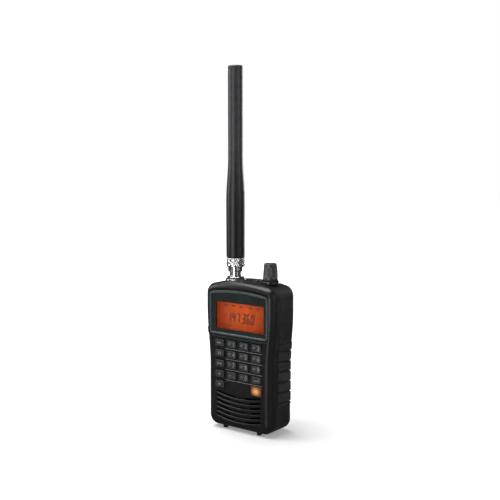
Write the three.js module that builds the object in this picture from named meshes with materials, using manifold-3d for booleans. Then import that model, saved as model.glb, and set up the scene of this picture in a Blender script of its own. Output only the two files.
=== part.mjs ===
// Handheld radio scanner with a detachable whip antenna.
// Millimetres, +Z up, the keypad side faces -Y and +X is to the right of someone facing it.
// Inside the main group the case is centred on X and Y, and its feet stand on Z = 0.
import * as THREE from 'three';
import { mergeVertices } from 'three/addons/utils/BufferGeometryUtils.js';
import Module from 'manifold-3d';

const wasm = await Module();
wasm.setup();

// ---------------------------------------------------------------- driving dimensions

// Case
const caseWidth = 67;
const waistWidth = 61.3;
const caseDepth = 31;
const caseTop = 119.6;
const caseBottom = 2;
const caseWall = 2.2;
const edgeRadius = 5;
const topCornerRadius = 8;
const bottomCornerRadius = 8;
const crownSlope = THREE.MathUtils.degToRad(11);
const taperTop = 97;
const taperBottom = 52;
const seamY = -5.5;
const seamGap = 0.3;
const slip = 0.3;
const footRadius = 2;
const footX = 16.7;
const footInset = 5.5;
const weld = 0.5;
const overshoot = 1;

// Side grips
const gripBottom = 23;
const gripTop = 72;
const gripProud = 0.5;
const gripDepth = 1;
const grooveCount = 6;
const groovePitch = 8.2;
const grooveHeight = 1.5;
const grooveDepth = 0.8;
const grooveTilt = THREE.MathUtils.degToRad(6);
const firstGroove = 2.2;

// Display
const displayWidth = 56.8;
const displayHeight = 36.2;
const displayCorner = 3.2;
const displaySlope = THREE.MathUtils.degToRad(9);
const displayTop = caseTop - 6.7;
const displayRim = 1.7;
const displayProud = 0.6;
const pocketDepth = 1.4;
const ledgeWidth = 2;
const lensThickness = 1.1;
const lcdWidth = 46.5;
const lcdHeight = 21.4;
const lcdMargin = 1.2;
const lcdTop = displayTop - 9.1;
const lcdThickness = 1.6;
const backlightWall = 1;
const glassCorner = 0.5;
const frameBevel = 0.5;

// Keypad
const keyWidth = 8.8;
const keyHeight = 5.6;
const keyCorner = 1.1;
const keyProud = 1;
const keyTravel = 0.9;
const keyPitchX = 12;
const keyPitchZ = 8.36;
const keyColumns = 4;
const keyFlange = 0.6;
const matThickness = 1.1;
const functionWidth = 10.2;
const functionHeight = 7.6;
const firstRowDrop = 6.6;
const keyBevel = 0.4;
const matBorder = 0.8;
const matSide = 1;
const matCorner = 2;
const matDrop = 2;

// Speaker and its slots
const slotCount = 6;
const slotPitch = 3.8;
const slotWidth = 1.7;
const slotSpan = 43.4;
const slotSag = 2.6;
const lowestSlot = 9;
const speakerRadius = 11;
const speakerDepth = 8.2;
const speakerRimWidth = 1.2;
const speakerRimHeight = 1.8;
const speakerLip = 1;
const speakerPress = 1.2;
const magnetRadius = 6;
const magnetHeight = 3.4;
const surroundWidth = 1.6;
const coneApex = 3.1;
const coneSkin = 0.5;
const coneRimSink = 0.2;
const dustCapRadius = 2;
const speakerRingGap = 0.5;
const speakerRingWall = 0.9;
const speakerRingHeight = 2;

// Volume and squelch controls on the top
const controlX = 18.8;
const controlY = 1.5;
const controlSeat = caseTop - 1.4;
const knobBottomRadius = 6.1;
const knobTopRadius = 5.1;
const knobHeight = 13.6;
const knobFlutes = 12;
const ringRadius = 6.8;
const ringHeight = 2;
const ringTubeRadius = 3.8;
const shaftRadius = 2.2;
const potSize = 10.6;
const potHeight = 8;
const potDrop = 8;
const potFrontCut = 1;
const tubeSink = 1.4;
const shaftSink = 5.4;
const shaftCap = 4;
const knobChamfer = 0.6;
const ringChamfer = 0.4;
const fluteRadius = 1.4;
const fluteOffset = 1.1;

// Antenna socket on the top
const antennaX = -15.4;
const antennaY = 1.5;
const jackSeat = caseTop - 1.3;
const jackRadius = 4.8;
const jackWall = 0.6;
const jackFlangeRadius = 8.2;
const jackFlangeHeight = 1.3;
const jackHexRadius = 7;
const jackHexHeight = 1.8;
const jackHeight = 13.4;
const jackTailRadius = 4.7;
const jackTailLength = 12;
const lugRadius = 1;
const lugReach = 0.8;
const jackTailBore = 1.6;
const jackShoulder = 0.2;
const jackChamfer = 0.3;
const cupDrop = 0.4;
const hexDraft = 0.4;
const nutRadius = 7;
const nutHeight = 2.4;
const nutPlay = 0.8;
const insulatorRadius = 2.5;
const insulatorBore = 0.95;
const insulatorDrop = 3;

// Antenna plug, its bayonet collar and the whip
const collarSleeveRadius = 6.1;
const collarSleeveHeight = 3.8;
const collarRingRadius = 7.5;
const collarRingHeight = 7.2;
const collarLip = 1.3;
const collarPlay = 0.3;
const collarRise = 7.2;
const bayonetTurn = THREE.MathUtils.degToRad(75);
const bayonetLift = 1.6;
const slotLand = 1;
const collarChamfer = 0.3;
const ringEdge = 0.4;
const collarStep = 0.8;
const washerRoom = 1.4;
const plugFlange = 1.2;
const plugClearance = 0.4;
const plugNeck = 3.9;
const plugPlay = 0.2;
const pinRadiusInPlug = 0.65;
const pinPoint = 0.4;
const pinRecess = 0.8;
const skirtRise = 3.4;
const whipLength = 150.3;
const whipRootRadius = 7.5;
const whipTipRadius = 5.85;
const whipTaperStart = 44;
const whipTaperEnd = 80;
const whipRound = 1.5;
const whipBore = 4.2;
const whipCap = 6;
const stemLength = 14;
const coilRadius = 2.6;
const coilWire = 0.6;
const coilTurns = 11;
const coilEndGap = 2;
const coilStemGap = 1;

// Small sockets
const earphoneX = 5.2;
const earphoneRadius = 3.3;
const earphoneBore = 1.8;
const earphoneLength = 12;
const earphoneProud = 0.4;
const powerZ = 101;
const powerRadius = 3.6;
const powerBore = 2.75;
const powerPin = 0.65;
const powerLength = 9;
const powerSink = 0.4;
const powerPinSink = 0.5;
const socketFloor = 1.5;

// Batteries, their bay and the door
const batteryRadius = 7.1;
const batteryLength = 49.2;
const batteryGap = 1.8;
const bayWall = 1.2;
const bayFloor = 6;
const contactRoom = 3;
const cellTipHeight = 1.2;
const cellTipRadius = 2.7;
const cellSideRoom = 1.1;
const cellFrontRoom = 0.4;
const cellDoorRoom = 0.6;
const contactHalf = 4;
const contactThickness = 0.6;
const contactButton = 2;
const springWire = 0.3;
const springRootRadius = 3.8;
const springTipRadius = 2.2;
const springTurns = 2;
const lintelHeight = 2;
const doorMargin = 1.6;
const doorTop = 64;
const doorThickness = 2;
const railReach = 1.8;
const railThickness = 1.1;
const railOverlap = 0.8;
const railBottom = 18;
const railTopDrop = 4;

// Belt clip
const clipPlateWidth = 26;
const clipPlateHeight = 24;
const clipPlateBottom = 86;
const clipPlateThickness = 1.6;
const leverThickness = 2;
const leverGap = 7.4;
const leverBottom = 60;
const leverTop = 113;
const pivotZ = 104;
const pivotStand = 4.3;
const pinRadius = 1;
const knuckleRadius = 2.4;
const earWidth = 2;
const clipCorner = 2;
const clipScrewRise = 4.5;
const clipBossDepth = 5;
const clipPilotDepth = 4.2;
const clipScrewBite = 3.6;
const pinEndGap = 0.2;
const leverSideGap = 0.4;
const knuckleGapHalf = 3.4;
const knuckleWebHalf = 2;
const hookGap = 0.9;

// Screws
const bossRadius = 2.8;
const screwRadius = 1.2;
const screwHeadRadius = 2.3;
const screwHeadHeight = 1.6;
const screwHeadSink = 1.1;
const upperScrewX = 27.3;
const upperScrewDrop = 9.8;
const lowerScrewZ = 10;
const clipScrewX = 6.5;
const screwBite = 3.5;
const crossHalf = 1.6;
const crossWidth = 0.7;
const crossDepth = 0.8;

// Circuit boards
const boardThickness = 1.4;
const keyToBoard = 0.4;
const boardHalf = 24;
const radioHalf = 22;
const boardGap = 2.2;
const chipHeight = 1;
const boardAboveSpeaker = 2;
const shieldHalf = 19;
const shieldHeight = 5;
const shieldSheet = 0.6;
const shieldBorder = 3;
const shieldAboveBay = 4;

// Side counts of round pieces
const coarse = 12;
const medium = 16;
const fine = 24;

// ---------------------------------------------------------------- places worked out

const frontFace = -caseDepth / 2;
const backFace = caseDepth / 2;
const frontInner = frontFace + caseWall;
const backInner = backFace - caseWall;
const floorInner = caseBottom + caseWall;
const displayBottom = displayTop - displayHeight;
const lcdBottom = lcdTop - lcdHeight;
const pocketFloor = frontFace + pocketDepth;
const flangeFront = frontInner + slip;
const flangeBack = flangeFront + matThickness;
const controlBoardFront = flangeBack + keyTravel + keyToBoard;
const doorInner = backFace - doorThickness;
const batteryY = doorInner - cellDoorRoom - batteryRadius;
const cellX = batteryRadius + batteryGap / 2;
const bayHalfWidth = cellX + batteryRadius + cellSideRoom;
const doorHalf = bayHalfWidth + bayWall + doorMargin;
const lowerScrewX = doorHalf + railReach + 2 * slip + bossRadius;
const bayFront = batteryY - batteryRadius - cellFrontRoom;
const batteryBottom = bayFloor + contactRoom;
const bayTop = batteryBottom + batteryLength + contactRoom;
const upperScrewZ = caseTop - upperScrewDrop;
const clipScrewZ = clipPlateBottom + clipScrewRise;
const clipBack = backFace + leverGap + leverThickness;
const pivotY = backFace + pivotStand;
const jackTop = jackSeat + jackHeight;
const collarBottom = jackSeat + collarRise;
const lugZ = collarBottom + slotLand + bayonetLift + lugRadius + slip;
const ringBottom = collarBottom + collarSleeveHeight;
const collarTop = ringBottom + collarRingHeight;
const lipBottom = collarTop - collarLip;
const whipBottom = collarTop + slip;
const everywhere = 400;

// ---------------------------------------------------------------- geometry helpers

// A closed, welded, outward-facing copy that holds positions only.
function closed(geometry) {
  geometry.deleteAttribute('normal');
  geometry.deleteAttribute('uv');
  const merged = mergeVertices(geometry, 1e-4);
  const corners = merged.index.array;
  const position = merged.getAttribute('position');
  const [a, b, c] = [new THREE.Vector3(), new THREE.Vector3(), new THREE.Vector3()];
  const kept = [];
  let volume = 0;
  for (let i = 0; i < corners.length; i += 3) {
    const [p, q, r] = [corners[i], corners[i + 1], corners[i + 2]];
    if (p === q || q === r || r === p) continue;
    kept.push(p, q, r);
    a.fromBufferAttribute(position, p);
    b.fromBufferAttribute(position, q);
    c.fromBufferAttribute(position, r);
    volume += a.dot(b.cross(c));
  }
  if (volume < 0) kept.reverse();
  merged.setIndex(kept);
  return merged;
}

function solid(geometry) {
  const mesh = closed(geometry);
  return new wasm.Manifold(new wasm.Mesh({
    numProp: 3,
    vertProperties: new Float32Array(mesh.getAttribute('position').array),
    triVerts: new Uint32Array(mesh.index.array),
  }));
}

// A joined or cut solid back as a faceted geometry.
function faceted(manifold) {
  const mesh = manifold.getMesh();
  const geometry = new THREE.BufferGeometry();
  geometry.setAttribute('position', new THREE.BufferAttribute(mesh.vertProperties, 3));
  geometry.setIndex(new THREE.BufferAttribute(mesh.triVerts, 1));
  const flat = geometry.toNonIndexed();
  flat.computeVertexNormals();
  return flat;
}

const cutAll = (body, cutters) => cutters.reduce((left, cutter) => left.subtract(cutter), body);
const joinAll = (body, pieces) => pieces.reduce((whole, piece) => whole.add(piece), body);

function block(x0, x1, y0, y1, z0, z1) {
  const geometry = new THREE.BoxGeometry(x1 - x0, y1 - y0, z1 - z0);
  geometry.translate((x0 + x1) / 2, (y0 + y1) / 2, (z0 + z1) / 2);
  return solid(geometry);
}

function rodX(radius, y, z, x0, x1, sides = medium) {
  const geometry = new THREE.CylinderGeometry(radius, radius, x1 - x0, sides);
  geometry.rotateZ(Math.PI / 2);
  geometry.translate((x0 + x1) / 2, y, z);
  return solid(geometry);
}

function rodY(radius, x, z, y0, y1, sides = medium) {
  const geometry = new THREE.CylinderGeometry(radius, radius, y1 - y0, sides);
  geometry.translate(x, (y0 + y1) / 2, z);
  return solid(geometry);
}

function rodZ(radius, x, y, z0, z1, sides = fine) {
  const geometry = new THREE.CylinderGeometry(radius, radius, z1 - z0, sides);
  geometry.rotateX(Math.PI / 2);
  geometry.translate(x, y, (z0 + z1) / 2);
  return solid(geometry);
}

// A profile of [radius, height] pairs turned about the Z axis.
function turned(profile, sides = fine) {
  const points = profile.map(([radius, height]) => new THREE.Vector2(radius, height));
  const geometry = new THREE.LatheGeometry(points, sides);
  geometry.rotateX(Math.PI / 2);
  return closed(geometry);
}

// A flat shape drawn in X and Z, given its thickness along Y from its front face backwards.
function plate(shape, front, thickness, bevel = 0, curveSegments = 3) {
  const geometry = new THREE.ExtrudeGeometry(shape, {
    depth: thickness - 2 * bevel,
    curveSegments,
    bevelEnabled: bevel > 0,
    bevelThickness: bevel,
    bevelSize: bevel,
    bevelOffset: -bevel,
    bevelSegments: 1,
  });
  geometry.rotateX(Math.PI / 2);
  geometry.translate(0, front + thickness - bevel, 0);
  return closed(geometry);
}

function roundedRectangle(width, height, radius, x = 0, z = 0) {
  const [right, up] = [width / 2 - radius, height / 2 - radius];
  const shape = new THREE.Shape();
  shape.absarc(x + right, z - up, radius, -Math.PI / 2, 0);
  shape.absarc(x + right, z + up, radius, 0, Math.PI / 2);
  shape.absarc(x - right, z + up, radius, Math.PI / 2, Math.PI);
  shape.absarc(x - right, z - up, radius, Math.PI, 1.5 * Math.PI);
  return shape;
}

// The right corner, shallow crown and left corner that close an outline at its top.
function addCrown(shape, half, top, radius, slope) {
  const cornerX = half - radius;
  const crownX = cornerX + radius * Math.sin(slope);
  const rise = crownX * Math.tan(slope) / 2;
  const cornerZ = top - rise - radius * Math.cos(slope);
  shape.absarc(cornerX, cornerZ, radius, 0, Math.PI / 2 - slope);
  shape.quadraticCurveTo(0, top + rise, -crownX, top - rise);
  shape.absarc(-cornerX, cornerZ, radius, Math.PI / 2 + slope, Math.PI);
}

// A winding round the Z axis, as wide at its root as at its tip or tapered between them.
class Helix extends THREE.Curve {
  constructor(root, tip, bottom, top, turns) {
    super();
    Object.assign(this, { root, tip, bottom, top, turns });
  }

  getPoint(t, target = new THREE.Vector3()) {
    const angle = 2 * Math.PI * this.turns * t;
    const radius = this.root + (this.tip - this.root) * t;
    const height = this.bottom + (this.top - this.bottom) * t;
    return target.set(radius * Math.cos(angle), radius * Math.sin(angle), height);
  }
}

function wound(path, wireRadius, sides, steps) {
  const section = new THREE.Shape();
  section.absarc(0, 0, wireRadius, 0, 2 * Math.PI);
  const corners = section.getPoints(sides).slice(0, sides);
  const shape = new THREE.Shape(corners);
  return closed(new THREE.ExtrudeGeometry(shape, { steps, extrudePath: path, bevelEnabled: false }));
}

// ---------------------------------------------------------------- the assembly

const scanner = new THREE.Group();
const frontmost = frontFace - keyProud;
scanner.position.y = -(frontmost + clipBack) / 2;

function section(x = 0, y = 0, z = 0) {
  const group = new THREE.Group();
  group.position.set(x, y, z);
  scanner.add(group);
  return group;
}

function addPart(group, name, shape, [color, roughness, metalness], place = [0, 0, 0]) {
  const geometry = shape.isBufferGeometry ? shape : faceted(shape);
  geometry.computeVertexNormals();
  const material = new THREE.MeshStandardMaterial({ color, roughness, metalness });
  const mesh = new THREE.Mesh(geometry, material);
  mesh.name = name;
  mesh.position.set(...place);
  group.add(mesh);
  return mesh;
}

const caseBlack = [0x232326, 0.6, 0];
const glossBlack = [0x101012, 0.25, 0];
const gripRubber = [0x1c1c1e, 0.85, 0];
const frameGrey = [0x4a5058, 0.35, 0.2];
const lensDark = [0x2a3030, 0.1, 0];
const amber = [0xc8501e, 0.4, 0];
const opalPlastic = [0xe8dcc8, 0.5, 0];
const keyGrey = [0x4c4c50, 0.6, 0];
const keyOrange = [0xdc8c46, 0.5, 0];
const chrome = [0xd8dade, 0.12, 1];
const steel = [0x9a9ca0, 0.35, 1];
const gold = [0xc8a050, 0.3, 1];
const boardGreen = [0x1f5a38, 0.6, 0];
const white = [0xe6e6e2, 0.5, 0];
const batterySkin = [0x3c6478, 0.4, 0.3];
const paperBlack = [0x1a1a1a, 0.9, 0];

// ---------------------------------------------------------------- case

function caseShape() {
  const half = caseWidth / 2;
  const waist = waistWidth / 2;
  const cornerX = waist - bottomCornerRadius;
  const cornerZ = caseBottom + bottomCornerRadius;
  const bend = 0.4 * (taperTop - taperBottom);
  const shape = new THREE.Shape();
  shape.absarc(cornerX, cornerZ, bottomCornerRadius, -Math.PI / 2, 0);
  shape.lineTo(waist, taperBottom);
  shape.bezierCurveTo(waist, taperBottom + bend, half, taperTop - bend, half, taperTop);
  addCrown(shape, half, caseTop, topCornerRadius, crownSlope);
  shape.lineTo(-half, taperTop);
  shape.bezierCurveTo(-half, taperTop - bend, -waist, taperBottom + bend, -waist, taperBottom);
  shape.absarc(-cornerX, cornerZ, bottomCornerRadius, Math.PI, 1.5 * Math.PI);
  return shape;
}

const outline = caseShape();

// The case form with every face moved inwards by inset, and its front and back edges rounded.
function caseForm(inset, segments = 3) {
  const thickness = caseDepth - 2 * inset;
  const edge = edgeRadius - inset;
  const geometry = new THREE.ExtrudeGeometry(outline, {
    depth: thickness - 2 * edge,
    curveSegments: 4,
    bevelThickness: edge,
    bevelSize: edge,
    bevelOffset: -edge - inset,
    bevelSegments: segments,
  });
  geometry.rotateX(Math.PI / 2);
  geometry.translate(0, thickness / 2 - edge, 0);
  return solid(geometry);
}

const hollow = caseForm(caseWall, 2);
const bossPlaces = [
  [upperScrewX, upperScrewZ],
  [-upperScrewX, upperScrewZ],
  [lowerScrewX, lowerScrewZ],
  [-lowerScrewX, lowerScrewZ],
];
const screwTip = frontInner + screwBite;
const headSeat = backFace - screwHeadSink - screwHeadHeight;

function displayShape(inset) {
  const half = displayWidth / 2 - inset;
  const radius = Math.max(displayCorner - inset, 0.8);
  const bottom = displayBottom + inset;
  const shape = new THREE.Shape();
  shape.absarc(half - radius, bottom + radius, radius, -Math.PI / 2, 0);
  addCrown(shape, half, displayTop - inset, radius, displaySlope);
  shape.absarc(-half + radius, bottom + radius, radius, Math.PI, 1.5 * Math.PI);
  return shape;
}

const columnX = (column) => (column - (keyColumns - 1) / 2) * keyPitchX;
const rowZ = (row) => displayBottom - firstRowDrop - row * keyPitchZ;
const digitKeys = ['1', '2', '3', '4', '5', '6', '7', '8', '9', 'dot', '0', 'enter'];
const keys = ['scan', 'hold', 'search', 'up', 'down'].map((label, row) => ({
  name: `key_${label}`,
  x: columnX(0),
  z: rowZ(row),
  width: keyWidth,
  height: keyHeight,
}));
digitKeys.forEach((label, i) => keys.push({
  name: `key_${label}`,
  x: columnX(1 + i % 3),
  z: rowZ(Math.floor(i / 3)),
  width: keyWidth,
  height: keyHeight,
}));
keys.push({
  name: 'key_function',
  x: columnX(3),
  z: rowZ(4) - slip,
  width: functionWidth,
  height: functionHeight,
});

// A key's outline with cut corners, grown by a clearance and given its thickness.
function keyBlock(key, grow, front, thickness, bevel = 0) {
  const shape = roundedRectangle(key.width + 2 * grow, key.height + 2 * grow, keyCorner, key.x, key.z);
  return solid(plate(shape, front, thickness, bevel, 1));
}

// One curved speaker slot: its ends stand higher than its middle.
function slotShape(middleZ) {
  const half = slotSpan / 2;
  const radius = (half * half + slotSag * slotSag) / (2 * slotSag);
  const sweep = Math.asin(half / radius);
  const down = -Math.PI / 2;
  const shape = new THREE.Shape();
  shape.absarc(0, middleZ + radius, radius + slotWidth / 2, down - sweep, down + sweep);
  shape.absarc(0, middleZ + radius, radius - slotWidth / 2, down + sweep, down - sweep, true);
  return shape;
}

const speakerZ = floorInner + speakerRadius + edgeRadius - caseWall;

// Flat round seats on the crown under the antenna socket and the squelch ring.
const seats = [
  rodZ(jackFlangeRadius + slip, antennaX, antennaY, jackSeat, everywhere),
  rodZ(ringRadius + slip, controlX, controlY, controlSeat, everywhere),
];

function makeFrontCover() {
  const half = block(-everywhere, everywhere, -everywhere, seamY - seamGap / 2, -everywhere, everywhere);
  const feet = [footX, -footX].map((x) => (
    rodZ(footRadius, x, frontFace + footInset, 0, floorInner - weld, coarse)
  ));
  const bosses = bossPlaces.map(([x, z]) => (
    rodY(bossRadius, x, z, frontInner - weld, seamY - seamGap / 2, coarse)
  ));
  const pilots = bossPlaces.map(([x, z]) => (
    rodY(screwRadius + slip, x, z, screwTip - weld, everywhere, coarse)
  ));
  const ringBore = speakerRadius + speakerRingGap;
  const ringBack = frontInner + speakerRingHeight;
  const speakerRing = rodY(ringBore + speakerRingWall, 0, speakerZ, frontInner - weld, ringBack, fine)
    .subtract(rodY(ringBore, 0, speakerZ, -everywhere, everywhere, fine))
    .subtract(block(-everywhere, everywhere, -everywhere, everywhere, -everywhere, floorInner - weld));
  const cutFront = frontFace - overshoot;
  const through = caseWall + 2 * overshoot;
  const window = solid(plate(displayShape(displayRim + ledgeWidth), cutFront, through));
  const pocket = solid(plate(displayShape(-slip), cutFront, pocketDepth + overshoot));
  const keyHoles = keys.map((key) => keyBlock(key, slip, cutFront, through));
  const slots = Array.from({ length: slotCount }, (_, i) => (
    solid(plate(slotShape(lowestSlot + i * slotPitch), cutFront, through))
  ));
  const shell = joinAll(caseForm(0), feet).subtract(hollow).intersect(half);
  const fitted = joinAll(shell, [...bosses, speakerRing]).intersect(joinAll(caseForm(0), feet));
  return cutAll(fitted, [...pilots, ...seats, window, pocket, ...keyHoles, ...slots]);
}

// The space that one side grip takes, grown by a clearance.
function gripSpace(side, grow) {
  const inner = waistWidth / 2 - edgeRadius - grow;
  const [x0, x1] = side > 0 ? [inner, everywhere] : [-everywhere, -inner];
  const front = seamY + seamGap / 2 - (grow > 0 ? seamGap : 0);
  return block(x0, x1, front, everywhere, gripBottom - grow, gripTop + grow);
}

const gripOuter = caseForm(-gripProud, 3);
const gripCore = caseForm(gripDepth, 3);
const pocketCore = caseForm(gripDepth + slip, 3);
const grooveCore = caseForm(grooveDepth - gripProud, 3);

function makeGrip(side) {
  const grooves = Array.from({ length: grooveCount }, (_, i) => {
    const geometry = new THREE.BoxGeometry(everywhere, 2 * caseDepth, grooveHeight);
    geometry.rotateX(grooveTilt);
    geometry.translate(0, 0, gripBottom + firstGroove + i * groovePitch);
    return solid(geometry).subtract(grooveCore);
  });
  return cutAll(gripOuter.intersect(gripSpace(side, 0)).subtract(gripCore), grooves);
}

function makeRearCover() {
  const half = block(-everywhere, everywhere, seamY + seamGap / 2, everywhere, -everywhere, everywhere);
  const feet = [footX, -footX].map((x) => (
    rodZ(footRadius, x, backFace - footInset, 0, floorInner - weld, coarse)
  ));
  const bosses = bossPlaces.map(([x, z]) => (
    rodY(bossRadius, x, z, seamY + seamGap / 2, backInner + weld, coarse)
  ));
  const clipBosses = [clipScrewX, -clipScrewX].map((x) => (
    rodY(bossRadius, x, clipScrewZ, backInner - clipBossDepth, backInner + weld, coarse)
  ));
  const bay = block(
    -bayHalfWidth - bayWall, bayHalfWidth + bayWall,
    bayFront - bayWall, doorInner - slip,
    floorInner - overshoot, doorTop + lintelHeight,
  ).add(block(
    -bayHalfWidth - bayWall, bayHalfWidth + bayWall,
    backInner - overshoot, backInner + weld,
    doorTop + slip, doorTop + lintelHeight,
  ));
  const bayRoom = block(-bayHalfWidth, bayHalfWidth, bayFront, everywhere, bayFloor, bayTop);
  const doorway = block(
    -doorHalf - slip, doorHalf + slip,
    Math.min(doorInner - slip, backInner), everywhere,
    -everywhere, doorTop + slip,
  );
  const shanks = bossPlaces.map(([x, z]) => (
    rodY(screwRadius + slip, x, z, -everywhere, everywhere, coarse)
  ));
  const headHoles = bossPlaces.map(([x, z]) => (
    rodY(screwHeadRadius + slip, x, z, headSeat - slip, everywhere)
  ));
  const clipHoles = [clipScrewX, -clipScrewX].map((x) => (
    rodY(screwRadius + slip, x, clipScrewZ, backInner - clipPilotDepth, everywhere, coarse)
  ));
  const topHoles = [
    rodZ(jackTailRadius + slip, antennaX, antennaY, doorTop, everywhere),
    rodZ(ringTubeRadius + slip, controlX, controlY, doorTop, everywhere),
    rodZ(earphoneRadius + slip, earphoneX, controlY, doorTop, everywhere, medium),
  ];
  const powerHole = rodX(powerRadius + slip, controlY, powerZ, -everywhere, 0);
  const gripPockets = [1, -1].map((side) => gripSpace(side, slip).subtract(pocketCore));
  const shell = joinAll(caseForm(0), feet).subtract(hollow).intersect(half);
  const inside = joinAll(caseForm(0), feet);
  const fitted = joinAll(shell, [...bosses, ...clipBosses, bay]).intersect(inside).intersect(half);
  return cutAll(fitted, [
    bayRoom, doorway, ...shanks, ...headHoles, ...clipHoles,
    ...topHoles, ...seats, powerHole, ...gripPockets,
  ]);
}

function makeBatteryDoor() {
  const panel = caseForm(0).intersect(
    block(-doorHalf, doorHalf, doorInner, everywhere, -everywhere, doorTop),
  );
  const railFront = backInner - slip - railThickness;
  const rails = [1, -1].map((side) => {
    const root = doorHalf - railOverlap;
    const [x0, x1] = [root, doorHalf + railReach].map((x) => side * x).sort((p, q) => p - q);
    const [s0, s1] = [root, doorHalf].map((x) => side * x).sort((p, q) => p - q);
    const railTop = doorTop - railTopDrop;
    return block(x0, x1, railFront, railFront + railThickness, railBottom, railTop)
      .add(block(s0, s1, railFront, doorInner + weld, railBottom, railTop));
  });
  return joinAll(panel, rails);
}

function makeScrew(length) {
  const arm = crossWidth / 2;
  const cross = block(-crossHalf, crossHalf, -crossDepth, overshoot, -arm, arm)
    .add(block(-arm, arm, -crossDepth, overshoot, -crossHalf, crossHalf));
  return rodY(screwRadius, 0, 0, -length, -crossDepth - weld, 8)
    .add(rodY(screwHeadRadius, 0, 0, -screwHeadHeight, 0, coarse))
    .subtract(cross);
}

const caseGroup = section();
addPart(caseGroup, 'front_cover', makeFrontCover(), caseBlack);
addPart(caseGroup, 'rear_cover', makeRearCover(), caseBlack);
addPart(caseGroup, 'battery_door', makeBatteryDoor(), caseBlack);
addPart(caseGroup, 'grip_right', makeGrip(1), gripRubber);
addPart(caseGroup, 'grip_left', makeGrip(-1), gripRubber);
bossPlaces.forEach(([x, z], i) => {
  const length = headSeat + screwHeadHeight - screwTip;
  addPart(caseGroup, `case_screw_${i + 1}`, makeScrew(length), steel, [x, backFace - screwHeadSink, z]);
});

// ---------------------------------------------------------------- display

const displayGroup = section();
const frameDepth = displayProud + pocketDepth - slip;
const frameRing = solid(plate(displayShape(0), frontFace - displayProud, frameDepth, frameBevel))
  .subtract(solid(plate(displayShape(displayRim), frontFace - caseDepth, 2 * caseDepth)));
addPart(displayGroup, 'display_frame', frameRing, frameGrey);
const lensShape = displayShape(displayRim + slip);
const lensFront = pocketFloor - slip - lensThickness;
addPart(displayGroup, 'display_lens', plate(lensShape, lensFront, lensThickness), lensDark);

const glassWidth = lcdWidth + 2 * lcdMargin;
const glassHeight = lcdHeight + 2 * lcdMargin;
const lcdMiddle = (lcdTop + lcdBottom) / 2;
const glassShape = roundedRectangle(glassWidth, glassHeight, glassCorner, 0, lcdMiddle);
const glassFront = frontInner + 2 * slip;
addPart(displayGroup, 'lcd_glass', plate(glassShape, glassFront, lcdThickness), amber);

const trayShape = (grow) => (
  roundedRectangle(glassWidth + 2 * grow, glassHeight + 2 * grow, glassCorner, 0, lcdMiddle)
);
const trayFront = frontInner + slip;
const trayDepth = controlBoardFront - slip - trayFront;
const lightTray = solid(plate(trayShape(backlightWall + slip), trayFront, trayDepth))
  .subtract(solid(plate(trayShape(slip), frontFace, glassFront + lcdThickness + slip - frontFace)));
addPart(displayGroup, 'lcd_backlight', lightTray, opalPlastic);

// ---------------------------------------------------------------- keypad

const keypadGroup = section();
const matBottom = rowZ(4) - slip - functionHeight / 2 - keyFlange - slip - matBorder;
const matTop = displayBottom - matDrop;
const matShape = roundedRectangle(
  keyColumns * keyPitchX + 2 * matSide, matTop - matBottom, matCorner, 0, (matTop + matBottom) / 2,
);
const mat = cutAll(
  solid(plate(matShape, flangeFront, matThickness)),
  keys.map((key) => {
    const [halfX, halfZ] = [key.width / 2 + keyFlange + slip, key.height / 2 + keyFlange + slip];
    return block(key.x - halfX, key.x + halfX, -everywhere, 0, key.z - halfZ, key.z + halfZ);
  }),
);
addPart(keypadGroup, 'keypad_mat', mat, paperBlack);

keys.forEach((key) => {
  const own = { ...key, x: 0, z: 0 };
  const cap = keyBlock(own, 0, 0, flangeBack - frontmost, keyBevel);
  const foot = keyBlock(own, keyFlange, flangeFront - frontmost, matThickness);
  const colors = key.name === 'key_function' ? keyOrange : keyGrey;
  addPart(keypadGroup, key.name, cap.add(foot), colors, [key.x, frontmost, key.z]);
});

// ---------------------------------------------------------------- volume and squelch

const controlGroup = section(controlX, controlY, 0);
const potTop = caseTop - caseWall - potDrop;
const potBottom = potTop - potHeight;
const tubeBottom = potTop - tubeSink;
const shaftBottom = potTop - shaftSink;
const ringZ = controlSeat + slip;
const knobZ = ringZ + ringHeight + slip;
const shaftTop = knobZ + knobHeight - shaftCap;

const ringProfile = [
  [shaftRadius + slip, tubeBottom],
  [ringTubeRadius, tubeBottom],
  [ringTubeRadius, ringZ],
  [ringRadius, ringZ],
  [ringRadius, ringZ + ringHeight - ringChamfer],
  [ringRadius - ringChamfer, ringZ + ringHeight],
  [shaftRadius + slip, ringZ + ringHeight],
  [shaftRadius + slip, tubeBottom],
];
addPart(controlGroup, 'squelch_ring', turned(ringProfile), glossBlack);

const knobProfile = [
  [0, knobZ],
  [knobBottomRadius, knobZ],
  [knobTopRadius, knobZ + knobHeight - knobChamfer],
  [knobTopRadius - knobChamfer, knobZ + knobHeight],
  [0, knobZ + knobHeight],
];
const flutes = Array.from({ length: knobFlutes }, (_, i) => {
  const angle = 2 * Math.PI * i / knobFlutes;
  const geometry = new THREE.CylinderGeometry(fluteRadius, fluteRadius, 2 * knobHeight, 8);
  geometry.rotateX(Math.PI / 2);
  geometry.rotateY(-Math.atan((knobBottomRadius - knobTopRadius) / knobHeight));
  geometry.translate((knobBottomRadius + knobTopRadius) / 2 + fluteOffset, 0, knobZ + knobHeight / 2);
  geometry.rotateZ(angle);
  return solid(geometry);
});
const knob = cutAll(solid(turned(knobProfile)), [
  ...flutes,
  rodZ(shaftRadius + slip, 0, 0, knobZ - overshoot, shaftTop + slip, medium),
]);
addPart(controlGroup, 'volume_knob', knob, keyGrey);
addPart(controlGroup, 'volume_shaft', rodZ(shaftRadius, 0, 0, shaftBottom, shaftTop, medium), steel);

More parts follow.
